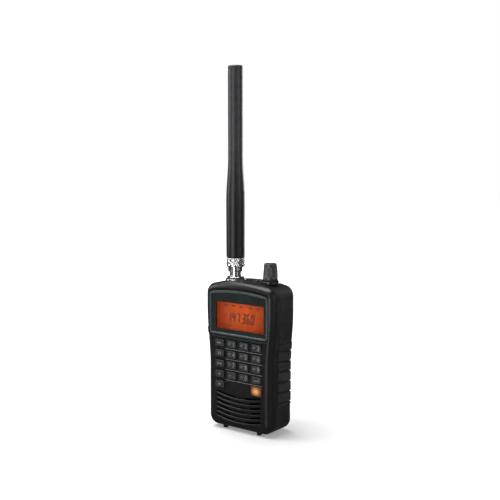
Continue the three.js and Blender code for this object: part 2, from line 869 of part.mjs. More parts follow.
const potHalf = potSize / 2;
const potBody = block(-potHalf, potHalf, -potHalf + potFrontCut, potHalf, potBottom, potTop);
const pot = cutAll(potBody, [
  rodZ(ringTubeRadius + slip, 0, 0, tubeBottom - slip, everywhere),
  rodZ(shaftRadius + slip, 0, 0, shaftBottom - slip, everywhere),
]);
addPart(controlGroup, 'control_pot', pot, steel);

// ---------------------------------------------------------------- antenna socket

const jackGroup = section(antennaX, antennaY, jackSeat);
const cupFloor = jackFlangeHeight + jackHexHeight - cupDrop;
const jackBore = jackRadius - jackWall;
const jackProfile = [
  [jackTailBore, -jackTailLength],
  [jackTailRadius, -jackTailLength],
  [jackTailRadius, jackShoulder],
  [jackFlangeRadius, jackShoulder],
  [jackFlangeRadius, jackFlangeHeight - jackChamfer],
  [jackFlangeRadius - jackChamfer, jackFlangeHeight],
  [jackRadius, jackFlangeHeight],
  [jackRadius, jackHeight - jackChamfer],
  [jackRadius - jackChamfer, jackHeight],
  [jackBore, jackHeight],
  [jackBore, cupFloor],
  [jackTailBore, cupFloor],
  [jackTailBore, -jackTailLength],
];
const hexBase = new THREE.CylinderGeometry(jackHexRadius - hexDraft, jackHexRadius, jackHexHeight, 6);
hexBase.rotateX(Math.PI / 2);
hexBase.translate(0, 0, jackFlangeHeight + jackHexHeight / 2 - plugPlay / 2);
const lugs = [0, Math.PI].map((angle) => {
  const geometry = new THREE.CylinderGeometry(lugRadius, lugRadius, lugReach + jackWall, coarse);
  geometry.rotateZ(Math.PI / 2);
  geometry.translate(jackRadius + (lugReach - jackWall) / 2, 0, lugZ - jackSeat);
  geometry.rotateZ(angle);
  return solid(geometry);
});
const jackBody = joinAll(
  solid(turned(jackProfile)),
  [solid(hexBase).subtract(rodZ(jackRadius - jackShoulder, 0, 0, -everywhere, everywhere)), ...lugs],
);
addPart(jackGroup, 'antenna_jack', jackBody, chrome);

const insulatorProfile = [
  [insulatorBore, cupFloor + slip],
  [insulatorRadius, cupFloor + slip],
  [insulatorRadius, jackHeight - insulatorDrop],
  [insulatorBore, jackHeight - insulatorDrop],
  [insulatorBore, cupFloor + slip],
];
addPart(jackGroup, 'jack_insulator', turned(insulatorProfile, medium), white);

const nutReach = Math.abs(antennaX) + nutRadius;
const crownHalf = caseWidth / 2 - topCornerRadius * (1 - Math.sin(crownSlope));
const crownFall = nutReach * nutReach * Math.tan(crownSlope) / (2 * crownHalf);
const nutTop = caseTop - crownFall - caseWall - nutPlay - jackSeat;
const nutGeometry = new THREE.CylinderGeometry(nutRadius, nutRadius, nutHeight, 6);
nutGeometry.rotateX(Math.PI / 2);
nutGeometry.translate(0, 0, nutTop - nutHeight / 2);
const nut = solid(nutGeometry).subtract(rodZ(jackTailRadius + slip, 0, 0, -everywhere, everywhere));
addPart(jackGroup, 'jack_nut', nut, steel);

// ---------------------------------------------------------------- antenna

const antennaGroup = section(antennaX, antennaY, 0);
const sleeveBore = jackRadius + collarPlay;
const plugFlangeTop = lipBottom - washerRoom;
const plugFlangeBottom = Math.max(plugFlangeTop - plugFlange, jackTop + plugClearance);
const flangeRadius = collarSleeveRadius - plugPlay;
const collarProfile = [
  [sleeveBore, collarBottom],
  [collarSleeveRadius - collarChamfer, collarBottom],
  [collarSleeveRadius, collarBottom + collarChamfer],
  [collarSleeveRadius, ringBottom],
  [collarRingRadius - ringEdge, ringBottom],
  [collarRingRadius, ringBottom + ringEdge],
  [collarRingRadius, collarTop - ringEdge],
  [collarRingRadius - ringEdge, collarTop],
  [plugNeck + slip, collarTop],
  [plugNeck + slip, lipBottom],
  [flangeRadius + slip, lipBottom],
  [flangeRadius + slip, plugFlangeBottom - slip],
  [sleeveBore, plugFlangeBottom - slip - collarStep],
  [sleeveBore, collarBottom],
];
// Each slot is the path of a lug as the collar turns open and rises, then runs out at the bottom.
const slotSteps = 7;
const slotMiddle = jackRadius + lugReach;
const slotDepth = 3;
const mouthHeight = 2 * lugRadius + slotDepth;
const slotCutters = [0, Math.PI].flatMap((start) => {
  const stations = Array.from({ length: slotSteps + 1 }, (_, i) => i / slotSteps);
  const track = stations.map((t) => {
    const geometry = new THREE.CylinderGeometry(lugRadius + slip, lugRadius + slip, slotDepth, 8);
    geometry.rotateZ(Math.PI / 2);
    geometry.translate(slotMiddle, 0, lugZ - bayonetLift * t);
    geometry.rotateZ(start - bayonetTurn * t);
    return solid(geometry);
  });
  const mouth = new THREE.BoxGeometry(slotDepth, 2 * (lugRadius + slip), mouthHeight);
  mouth.translate(slotMiddle, 0, lugZ - bayonetLift - mouthHeight / 2);
  mouth.rotateZ(start - bayonetTurn);
  return [...track, solid(mouth)];
});
addPart(antennaGroup, 'antenna_collar', cutAll(solid(turned(collarProfile, fine + 4)), slotCutters), chrome);

const washerProfile = [
  [plugNeck + slip, plugFlangeTop + slip],
  [flangeRadius, plugFlangeTop + slip],
  [flangeRadius, lipBottom - slip],
  [plugNeck + slip, lipBottom - slip],
  [plugNeck + slip, plugFlangeTop + slip],
];
addPart(antennaGroup, 'antenna_washer', turned(washerProfile, medium + 4), steel);

const skirtBottom = jackSeat + cupFloor + skirtRise;
const skirtOuter = jackBore - slip;
const skirtInner = insulatorRadius + slip;
const pinBottom = skirtBottom + pinRecess;
const stemTop = whipBottom + stemLength;
const plugProfile = [
  [0, pinBottom],
  [pinRadiusInPlug, pinBottom + pinPoint],
  [pinRadiusInPlug, plugFlangeBottom],
  [skirtInner, plugFlangeBottom],
  [skirtInner, skirtBottom],
  [skirtOuter, skirtBottom],
  [skirtOuter, plugFlangeBottom],
  [flangeRadius, plugFlangeBottom],
  [flangeRadius, plugFlangeTop],
  [plugNeck, plugFlangeTop],
  [plugNeck, stemTop],
  [0, stemTop],
];
addPart(antennaGroup, 'antenna_plug', turned(plugProfile, medium + 4), chrome);

const whipTop = whipBottom + whipLength;
const taper = (t) => whipRootRadius + (whipTipRadius - whipRootRadius) * (1 - Math.cos(Math.PI * t)) / 2;
const taperSteps = 6;
const taperStations = Array.from({ length: taperSteps + 1 }, (_, i) => i / taperSteps).map((t) => [
  taper(t), whipBottom + whipTaperStart + (whipTaperEnd - whipTaperStart) * t,
]);
const sleeveProfile = [
  [0, whipTop - whipCap],
  [whipBore, whipTop - whipCap],
  [whipBore, whipBottom],
  [whipRootRadius - collarChamfer, whipBottom],
  [whipRootRadius, whipBottom + collarChamfer],
  ...taperStations,
  [whipTipRadius, whipTop - whipRound],
  [whipTipRadius - 0.3 * whipRound, whipTop - 0.3 * whipRound],
  [whipTipRadius - whipRound, whipTop],
  [0, whipTop],
];
addPart(antennaGroup, 'antenna_sleeve', turned(sleeveProfile, medium + 4), caseBlack);

const coilTop = whipTop - whipCap - coilEndGap;
const coilPath = new Helix(coilRadius, coilRadius, stemTop + coilStemGap, coilTop, coilTurns);
addPart(antennaGroup, 'antenna_coil', wound(coilPath, coilWire, 4, 7 * coilTurns), gold);

// ---------------------------------------------------------------- small sockets

const socketGroup = section();
const earphoneBottom = caseTop - earphoneLength;
const earphoneTop = caseTop + earphoneProud;
const earphone = rodZ(earphoneRadius, earphoneX, controlY, earphoneBottom, earphoneTop, medium)
  .subtract(rodZ(earphoneBore, earphoneX, controlY, earphoneBottom + socketFloor, everywhere, coarse));
addPart(socketGroup, 'earphone_jack', earphone, glossBlack);

const powerOuter = -caseWidth / 2 + powerSink;
const powerInner = powerOuter + powerLength;
const powerSocket = rodX(powerRadius, controlY, powerZ, powerOuter, powerInner)
  .subtract(rodX(powerBore, controlY, powerZ, -everywhere, powerInner - socketFloor, coarse))
  .add(rodX(powerPin, controlY, powerZ, powerOuter + powerPinSink, powerInner - overshoot, 8));
addPart(socketGroup, 'power_jack', powerSocket, glossBlack);

// ---------------------------------------------------------------- speaker

const speakerGroup = section(0, frontInner + slip, speakerZ);
const dishDepth = Math.min(speakerDepth, bayFront - bayWall - 2 * slip - frontInner);
const coneRadius = speakerRadius - surroundWidth;
const dishFloor = speakerPress - dishDepth + magnetHeight;
const dishProfile = [
  [0, -dishDepth],
  [magnetRadius, -dishDepth],
  [magnetRadius, -dishDepth + magnetHeight],
  [coneRadius, -speakerRimHeight],
  [speakerRadius, -speakerRimHeight],
  [speakerRadius, 0],
  [speakerRadius - speakerRimWidth, 0],
  [speakerRadius - speakerRimWidth, -speakerLip],
  [magnetRadius - speakerRimWidth / 2, dishFloor],
  [0, dishFloor],
];
const dish = turned(dishProfile, fine - 2);
dish.rotateX(Math.PI / 2);
addPart(speakerGroup, 'speaker_frame', dish, steel);
const coneBack = Math.max(dishFloor + slip, -speakerDepth / 2 + speakerLip);
const coneProfile = [
  [0, coneBack],
  [coneApex, coneBack],
  [coneRadius, -coneSkin - coneRimSink],
  [coneRadius, -coneRimSink],
  [coneApex, coneBack + coneSkin],
  [dustCapRadius, coneBack + 2 * coneSkin],
  [0, coneBack + 3 * coneSkin],
];
const cone = turned(coneProfile, fine - 2);
cone.rotateX(Math.PI / 2);
addPart(speakerGroup, 'speaker_cone', cone, paperBlack);

// ---------------------------------------------------------------- circuit boards

const boardGroup = section();
const boardBottom = speakerZ + speakerRadius + boardAboveSpeaker;
const controlBoardTop = lcdTop + lcdMargin + backlightWall + slip;
const controlBoardBack = controlBoardFront + boardThickness;

// A packaged chip soldered to the back of a board, rooted a little way in it.
function chip(back, left, width, bottom, height) {
  return block(left, left + width, back - weld / 2, back + chipHeight, bottom, bottom + height);
}

const controlBoard = joinAll(
  block(-boardHalf, boardHalf, controlBoardFront, controlBoardBack, boardBottom, controlBoardTop),
  [
    chip(controlBoardBack, -boardHalf / 2, 14, boardBottom + 14, 14),
    chip(controlBoardBack, boardHalf / 3, 8, boardBottom + 30, 12),
  ],
);
addPart(boardGroup, 'control_board', controlBoard, boardGreen);

const radioFront = controlBoardBack + boardGap;
const radioBack = radioFront + boardThickness;
const radioTop = potBottom - 1;
const clearOfBay = radioBack + chipHeight + slip < bayFront - bayWall;
const radioBottom = clearOfBay ? boardBottom + boardAboveSpeaker : doorTop + lintelHeight + slip;
addPart(boardGroup, 'radio_board', joinAll(
  block(-radioHalf, radioHalf, radioFront, radioBack, radioBottom, radioTop),
  [chip(radioBack, 4 - radioHalf, 10, radioBottom + 8, 8)],
), boardGreen);

const shieldBottom = Math.max(doorTop, bayTop) + shieldAboveBay;
const shieldTop = radioTop - shieldBorder;
const shieldBack = radioBack + shieldHeight;
const shieldInner = shieldHalf - shieldSheet;
const shield = block(-shieldHalf, shieldHalf, radioBack + slip, shieldBack, shieldBottom, shieldTop)
  .subtract(block(
    -shieldInner, shieldInner, radioBack, shieldBack - shieldSheet,
    shieldBottom + shieldSheet, shieldTop - shieldSheet,
  ));
addPart(boardGroup, 'radio_shield', shield, steel);

// ---------------------------------------------------------------- batteries

const powerGroup = section(0, batteryY, 0);
const cellProfile = [
  [0, 0],
  [batteryRadius, 0],
  [batteryRadius, batteryLength - cellTipHeight],
  [cellTipRadius, batteryLength - cellTipHeight],
  [cellTipRadius, batteryLength],
  [0, batteryLength],
];
const cell = turned(cellProfile, medium + 4);
addPart(powerGroup, 'battery_left', cell.clone(), batterySkin, [-cellX, 0, batteryBottom]);
const upturned = addPart(
  powerGroup, 'battery_right', cell.clone(), batterySkin,
  [cellX, 0, batteryBottom + batteryLength],
);
upturned.rotation.x = Math.PI;

const bridgeHalf = cellX + contactHalf;
const bridgeBottom = bayFloor + slip;
const bridgeTop = bridgeBottom + contactThickness;
const bridge = block(-bridgeHalf, bridgeHalf, -contactHalf, contactHalf, bridgeBottom, bridgeTop)
  .add(rodZ(contactButton, cellX, 0, bridgeBottom, batteryBottom - slip, coarse));
addPart(powerGroup, 'contact_bridge', bridge, steel);
const springPath = new Helix(
  springRootRadius, springTipRadius,
  bridgeTop + slip + springWire, batteryBottom - slip - springWire, springTurns,
);
const spring = wound(springPath, springWire, 4, 12 * springTurns);
addPart(powerGroup, 'battery_spring', spring, steel, [-cellX, 0, 0]);

// ---------------------------------------------------------------- belt clip

const clipGroup = section();
const clipPlateFront = backFace + slip;
const clipPlateBack = clipPlateFront + clipPlateThickness;
const clipPlateTop = clipPlateBottom + clipPlateHeight;
const clipHalf = clipPlateWidth / 2;
const earFace = clipHalf - earWidth;
const clipPlate = solid(plate(
  roundedRectangle(clipPlateWidth, clipPlateHeight, clipCorner, 0, (clipPlateBottom + clipPlateTop) / 2),
  clipPlateFront, clipPlateThickness,
));
const ears = [-clipHalf, earFace].map((x) => (
  block(x, x + earWidth, clipPlateBack - weld, pivotY, pivotZ - knuckleRadius, pivotZ + knuckleRadius)
    .add(rodX(knuckleRadius, pivotY, pivotZ, x, x + earWidth, medium + 4))
));
const plateHoles = [clipScrewX, -clipScrewX].map((x) => (
  rodY(screwRadius + slip, x, clipScrewZ, -everywhere, everywhere, coarse)
));
addPart(clipGroup, 'clip_bracket', cutAll(joinAll(clipPlate, ears), [
  ...plateHoles,
  rodX(pinRadius + slip, pivotY, pivotZ, -everywhere, everywhere),
]), steel);
const pinEnd = clipHalf - pinEndGap;
addPart(clipGroup, 'clip_pin', rodX(pinRadius, pivotY, pivotZ, -pinEnd, pinEnd, coarse), steel);

const leverInner = backFace + leverGap;
const hookTip = backFace + hookGap;
const leverOutline = new THREE.Shape([
  [clipBack, leverBottom + 2.4],
  [clipBack, leverTop - 0.6],
  [clipBack - 0.6, leverTop],
  [leverInner, leverTop],
  [leverInner, leverBottom + 7],
  [leverInner - 0.9, leverBottom + 4.6],
  [hookTip + 0.4, leverBottom + 2.4],
  [hookTip, leverBottom + 1.2],
  [hookTip + 0.9, leverBottom],
  [clipBack - 2.4, leverBottom],
  [clipBack - 0.7, leverBottom + 0.7],
].map(([y, z]) => new THREE.Vector2(y, z)));
const leverHalf = earFace - leverSideGap;
const leverBar = new THREE.ExtrudeGeometry(leverOutline, { depth: 2 * leverHalf, bevelEnabled: false });
leverBar.rotateX(Math.PI / 2);
leverBar.rotateZ(Math.PI / 2);
leverBar.translate(-leverHalf, 0, 0);
const knuckleWidth = leverHalf - knuckleGapHalf;
const webFoot = pivotZ - knuckleWebHalf;
const webTop = pivotZ + knuckleWebHalf;
const knuckles = [-leverHalf, knuckleGapHalf].map((x) => (
  rodX(knuckleRadius, pivotY, pivotZ, x, x + knuckleWidth, medium + 4)
    .add(block(x, x + knuckleWidth, pivotY, leverInner + weld, webFoot, webTop))
));
const lever = joinAll(solid(leverBar), knuckles)
  .subtract(rodX(pinRadius + slip, pivotY, pivotZ, -everywhere, everywhere));
addPart(clipGroup, 'clip_lever', lever, caseBlack);
[['left', -clipScrewX], ['right', clipScrewX]].forEach(([side, x]) => {
  const headY = clipPlateBack + slip + screwHeadHeight;
  const length = headY - (backInner - clipScrewBite);
  addPart(clipGroup, `clip_screw_${side}`, makeScrew(length), steel, [x, headY, clipScrewZ]);
});

export default scanner;
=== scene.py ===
# Handheld radio scanner: the looks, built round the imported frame.
# Everything is in metres, +Z up, with the display and keys facing -Y.
import math

import bmesh
import bpy
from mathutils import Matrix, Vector


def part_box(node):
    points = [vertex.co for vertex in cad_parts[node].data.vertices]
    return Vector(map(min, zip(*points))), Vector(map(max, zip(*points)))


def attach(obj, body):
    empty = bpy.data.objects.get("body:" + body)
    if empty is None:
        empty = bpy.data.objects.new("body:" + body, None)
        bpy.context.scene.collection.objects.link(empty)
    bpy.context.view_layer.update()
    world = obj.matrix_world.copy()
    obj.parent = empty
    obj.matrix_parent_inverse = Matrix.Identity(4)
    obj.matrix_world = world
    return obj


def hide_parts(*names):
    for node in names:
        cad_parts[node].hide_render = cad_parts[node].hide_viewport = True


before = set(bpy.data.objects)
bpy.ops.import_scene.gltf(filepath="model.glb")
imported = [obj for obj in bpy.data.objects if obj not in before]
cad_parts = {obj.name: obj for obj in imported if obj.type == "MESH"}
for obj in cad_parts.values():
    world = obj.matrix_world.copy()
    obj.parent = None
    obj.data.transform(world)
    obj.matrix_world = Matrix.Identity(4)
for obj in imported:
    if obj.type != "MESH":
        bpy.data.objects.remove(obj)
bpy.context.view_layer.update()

# ------------------------------------------------------------------ camera
# The camera stands to the right of the display side, about 0.67 m away, and looks slightly
# down through a long lens, so that the set keeps nearly upright sides.
MM = 0.001
AIM_AZIMUTH = math.radians(37.1)
AIM_DROP = math.radians(6.42)
CAMERA_REACH = 0.67224
CAMERA_HEIGHT = 0.21924
LENS_LENGTH = 62.06
SENSOR_WIDTH = 36
case_middle_y = -4.2 * MM

camera_data = bpy.data.cameras.new("camera")
camera_data.lens = LENS_LENGTH
camera_data.sensor_width = SENSOR_WIDTH
camera = bpy.data.objects.new("camera", camera_data)
bpy.context.scene.collection.objects.link(camera)
camera.location = (
    CAMERA_REACH * math.sin(AIM_AZIMUTH),
    case_middle_y - CAMERA_REACH * math.cos(AIM_AZIMUTH),
    CAMERA_HEIGHT,
)
camera.rotation_euler = (math.pi / 2 - AIM_DROP, 0, AIM_AZIMUTH)
bpy.context.scene.camera = camera
bpy.context.scene.view_settings.view_transform = "Standard"

# ------------------------------------------------------------------ floor and light
# A pale matt floor that glows more the further it lies from the set, under a plain white sky,
# so that no horizon shows. Six large soft lights stand round the set: one overhead, one on
# the left, two on the right, one in front and one behind.
FLOOR_SIZE = 6.0
FLOOR_GREY = 0.92
FLOOR_GLOW_NEAR = 0.22
FLOOR_GLOW_FAR = 1.0
FLOOR_GLOW_REACH = 0.9
SKY_SHED = 0.06
SKY_SEEN = 1.0
LIGHT_AIM = (0, case_middle_y, 0.1)


def deselect():
    """Nothing is left selected, so that the next operator acts on its own object only."""
    if bpy.context.object and bpy.context.object.mode != "OBJECT":
        bpy.ops.object.mode_set(mode="OBJECT")
    bpy.ops.object.select_all(action="DESELECT")


deselect()
bpy.ops.mesh.primitive_plane_add(size=FLOOR_SIZE)
floor = bpy.context.object
floor.name = "floor"
floor.visible_glossy = False
floor_paint = bpy.data.materials.new("floor_paint")
floor_paint.use_nodes = True
floor_tree = floor_paint.node_tree
floor_shader = floor_tree.nodes["Principled BSDF"]
floor_shader.inputs["Base Color"].default_value = (FLOOR_GREY, FLOOR_GREY, FLOOR_GREY, 1)
floor_shader.inputs["Roughness"].default_value = 0.6
floor_shader.inputs["Emission Color"].default_value = (1, 1, 1, 1)
floor_place = floor_tree.nodes.new("ShaderNodeTexCoord")
floor_reach = floor_tree.nodes.new("ShaderNodeVectorMath")
floor_reach.operation = "LENGTH"
floor_glow = floor_tree.nodes.new("ShaderNodeMapRange")
floor_glow.inputs["From Max"].default_value = FLOOR_GLOW_REACH
floor_glow.inputs["To Min"].default_value = FLOOR_GLOW_NEAR
floor_glow.inputs["To Max"].default_value = FLOOR_GLOW_FAR
floor_tree.links.new(floor_place.outputs["Object"], floor_reach.inputs[0])
floor_tree.links.new(floor_reach.outputs["Value"], floor_glow.inputs["Value"])
floor_tree.links.new(floor_glow.outputs["Result"], floor_shader.inputs["Emission Strength"])
floor.data.materials.append(floor_paint)

sky = bpy.data.worlds.new("studio")
sky.use_nodes = True
sky_tree = sky.node_tree
sky_light = sky_tree.nodes["Background"]
sky_light.inputs["Color"].default_value = (1, 1, 1, 1)
sky_level = sky_tree.nodes.new("ShaderNodeMapRange")
sky_level.inputs["To Min"].default_value = SKY_SHED
sky_level.inputs["To Max"].default_value = SKY_SEEN
sky_rays = sky_tree.nodes.new("ShaderNodeLightPath")
sky_tree.links.new(sky_rays.outputs["Is Camera Ray"], sky_level.inputs["Value"])
sky_tree.links.new(sky_level.outputs["Result"], sky_light.inputs["Strength"])
bpy.context.scene.world = sky


def soft_light(name, place, width, height, power):
    """A large rectangular lamp in metres and watts, turned towards the set."""
    lamp = bpy.data.lights.new(name, "AREA")
    lamp.shape = "RECTANGLE"
    lamp.size = width
    lamp.size_y = height
    lamp.energy = power
    stand = bpy.data.objects.new(name, lamp)
    bpy.context.scene.collection.objects.link(stand)
    stand.location = place
    aim = Vector(LIGHT_AIM) - Vector(place)
    stand.rotation_euler = aim.to_track_quat("-Z", "Y").to_euler()


soft_light("overhead", (-0.35, -0.05, 1.2), 1.1, 0.9, 17)
soft_light("left_bank", (-1.15, -0.62, 0.5), 0.35, 1.0, 5)
soft_light("right_bank", (1.15, 0.05, 0.45), 0.2, 0.9, 1.8)
soft_light("front_bank", (0.0, -1.29, 0.12), 0.62, 0.8, 4.5)
soft_light("side_bank", (1.18, -0.52, 0.12), 0.36, 0.8, 0.45)
soft_light("back_bank", (0.0, 1.4, 0.2), 0.7, 0.8, 7.5)

# ------------------------------------------------------------------ case plastic
# Black ABS for both covers, the battery door and the clip lever. It is moulded in a tool with
# a fine spark-eroded grain, and its edges are a little paler where hands have rubbed them.


class Paint:
    """A procedural material on Object coordinates, whose nodes are added one after another."""

    def __init__(self, name, rough, metal=0.0, **sockets):
        self.material = bpy.data.materials.new(name)
        self.material.use_nodes = True
        self.tree = self.material.node_tree
        self.shader = self.tree.nodes["Principled BSDF"]
        self.shader.inputs["Roughness"].default_value = rough
        self.shader.inputs["Metallic"].default_value = metal
        for socket, value in sockets.items():
            self.shader.inputs[socket.replace("_", " ")].default_value = value
        self.place = self.add("ShaderNodeTexCoord").outputs["Object"]

    def add(self, kind, **values):
        node = self.tree.nodes.new(kind)
        for name, value in values.items():
            setattr(node, name, value)
        return node

    def link(self, source, target):
        self.tree.links.new(source, target)

    def noise(self, scale, detail=2.0):
        """A cloudy value from 0 to 1, with scale in features to the metre."""
        node = self.add("ShaderNodeTexNoise")
        node.inputs["Scale"].default_value = scale
        node.inputs["Detail"].default_value = detail
        self.link(self.place, node.inputs["Vector"])
        return node.outputs["Fac"]

    def spot(self, middle_x, middle_z, reach_x, reach_z):
        """A round glow seen from the front: 1 in its middle, 0 at its reach."""
        mapping = self.add("ShaderNodeMapping")
        mapping.inputs["Location"].default_value = (-middle_x / reach_x, 0, -middle_z / reach_z)
        mapping.inputs["Scale"].default_value = (1 / reach_x, 0, 1 / reach_z)
        self.link(self.place, mapping.inputs["Vector"])
        glow = self.add("ShaderNodeTexGradient", gradient_type="SPHERICAL")
        self.link(mapping.outputs["Vector"], glow.inputs["Vector"])
        return glow.outputs["Color"]

    def height(self):
        """How far up a place lies, in metres."""
        node = self.add("ShaderNodeSeparateXYZ")
        self.link(self.place, node.inputs["Vector"])
        return node.outputs["Z"]

    def blend_colors(self, share, low_color, high_color, low=0.35, high=0.65):
        """A colour that goes from low_color to high_color as share rises from low to high."""
        node = self.add("ShaderNodeValToRGB")
        ends = node.color_ramp.elements
        ends[0].position = low
        ends[1].position = high
        ends[0].color = (*low_color, 1)
        ends[1].color = (*high_color, 1)
        self.link(share, node.inputs["Fac"])
        return node.outputs["Color"]

    def mix(self, share, first, second):
        node = self.add("ShaderNodeMix", data_type="RGBA")
        self.link(share, node.inputs["Factor"])
        self.link(first, node.inputs["A"])
        self.link(second, node.inputs["B"])
        return node.outputs["Result"]

    def clouds(self, scale, detail, dark, light):
        """The colour goes in soft clouds from dark to light."""
        self.color(self.blend_colors(self.noise(scale, detail), dark, light))

    def color(self, source):
        self.link(source, self.shader.inputs["Base Color"])

    def roughness(self, scale, detail, low, high):
        """The gloss varies in clouds between two roughnesses."""
        node = self.add("ShaderNodeMapRange")
        node.inputs["To Min"].default_value = low
        node.inputs["To Max"].default_value = high
        self.link(self.noise(scale, detail), node.inputs["Value"])
        self.link(node.outputs["Result"], self.shader.inputs["Roughness"])

    def glow(self, source, strength):
        self.link(source, self.shader.inputs["Emission Color"])
        self.shader.inputs["Emission Strength"].default_value = strength

    def grain(self, scale, depth):
        """A raised grain of that depth in metres."""
        node = self.add("ShaderNodeBump")
        node.inputs["Distance"].default_value = depth
        node.inputs["Strength"].default_value = 1.0
        self.link(self.noise(scale, 2), node.inputs["Height"])
        self.link(node.outputs["Normal"], self.shader.inputs["Normal"])

    def edge_share(self, low, high):
        """How far a place is a worn, outward edge, from 0 to 1."""
        node = self.add("ShaderNodeMapRange")
        node.inputs["From Min"].default_value = low
        node.inputs["From Max"].default_value = high
        self.link(self.add("ShaderNodeNewGeometry").outputs["Pointiness"], node.inputs["Value"])
        return node.outputs["Result"]


def moulded_plastic(name, dark, light, worn, rough, grain=3500, grain_depth=0.00002):
    """Moulded plastic with a spark-eroded grain, slight clouding and rubbed edges."""
    paint = Paint(name, rough)
    clouds = paint.blend_colors(paint.noise(260, 4), dark, light)
    rubbed = paint.blend_colors(paint.noise(400, 3), light, worn)
    paint.color(paint.mix(paint.edge_share(0.52, 0.62), clouds, rubbed))
    paint.roughness(420, 4, rough - 0.03, rough + 0.04)
    paint.grain(grain, grain_depth)
    return paint.material


case_plastic = moulded_plastic(
    "case_plastic", (0.006, 0.006, 0.0068), (0.0095, 0.0095, 0.0105), (0.03, 0.03, 0.032), 0.33
)

# ------------------------------------------------------------------ case form
# The outer form that both covers, the battery door and the grips share: a box narrower below
# than above, with a shallow crown, 8 mm corners and 5 mm rounded front and back edges. It is
# cut across before it is bent, so that its sides and crown follow a curve.
CASE_HALF = 33.5 * MM
WAIST_HALF = 30.65 * MM
CASE_DEPTH = 31 * MM
CASE_TOP = 119.6 * MM
CASE_BOTTOM = 2 * MM
EDGE_RADIUS = 5 * MM
CORNER_RADIUS = 8 * MM
TAPER_TOP = 97 * MM
TAPER_BOTTOM = 52 * MM
TAPER_STEPS = 14
CROWN_STEPS = 7
CROWN_SLOPE = math.radians(11)
FRONT_Y = case_middle_y - CASE_DEPTH / 2
BACK_Y = case_middle_y + CASE_DEPTH / 2
TOUCH = 1e-6


def pick(obj):
    """obj alone is selected and active."""
    deselect()
    obj.select_set(True)
    bpy.context.view_layer.objects.active = obj


def mesh_parts(obj, kind, test):
    """Selects the faces, edges or vertices of obj that pass test, and enters edit mode."""
    pick(obj)
    bpy.ops.object.mode_set(mode="EDIT")
    bpy.ops.mesh.select_mode(type={"faces": "FACE", "edges": "EDGE", "verts": "VERT"}[kind])
    bpy.ops.mesh.select_all(action="DESELECT")
    shape = bmesh.from_edit_mesh(obj.data)
    for part in getattr(shape, kind):
        if test(part):
            part.select_set(True)
    shape.select_flush_mode()
    bmesh.update_edit_mesh(obj.data)


def leave_edit():
    bpy.ops.object.mode_set(mode="OBJECT")


def smooth_step(low, high, value):
    """A share that rises from 0 at low to 1 at high, softly at both ends."""
    share = min(max((value - low) / (high - low), 0), 1)
    return share * share * (3 - 2 * share)


def case_half_width(z):
    return WAIST_HALF + (CASE_HALF - WAIST_HALF) * smooth_step(TAPER_BOTTOM, TAPER_TOP, z)


def crown_height(x, top, half, corner, slope):
    """Height of a crown with that slope at its ends, at x from its middle."""
    reach = half - corner * (1 - math.sin(slope))
    rise = reach * math.tan(slope) / 2
    return top - rise * (x / reach) ** 2


def box(name, low, high):
    """A box between two corners, from a cube primitive, with its place in its mesh."""
    deselect()
    size = Vector(high) - Vector(low)
    bpy.ops.mesh.primitive_cube_add(size=1, location=(Vector(low) + Vector(high)) / 2)
    made = bpy.context.object
    made.scale = size
    bpy.ops.object.transform_apply(location=True, rotation=True, scale=True)
    made.name = name
    return made


def bisect(obj, point, normal, clear_outer=False, fill=False):
    """Cuts all of obj across a plane, and drops what lies beyond it if clear_outer is set."""
    mesh_parts(obj, "faces", lambda face: True)
    bpy.ops.mesh.bisect(
        plane_co=point, plane_no=normal, clear_outer=clear_outer, use_fill=fill, threshold=1e-7
    )
    leave_edit()


def bevel_edges(obj, test, width, segments):
    """Rounds the edges of obj that pass test."""
    mesh_parts(obj, "edges", test)
    bpy.ops.mesh.bevel(
        offset=width, offset_type="OFFSET", segments=segments, profile=0.5, clamp_overlap=False
    )
    leave_edit()


def along_y(edge):
    step = edge.verts[0].co - edge.verts[1].co
    return abs(step.y) > 10 * max(abs(step.x), abs(step.z), 1e-7)


def tidy_mesh(obj, reach=1e-6):
    """Merges the double vertices of obj and turns its faces outwards."""
    mesh_parts(obj, "verts", lambda vert: True)
    bpy.ops.mesh.remove_doubles(threshold=reach)
    bpy.ops.mesh.normals_make_consistent(inside=False)
    leave_edit()


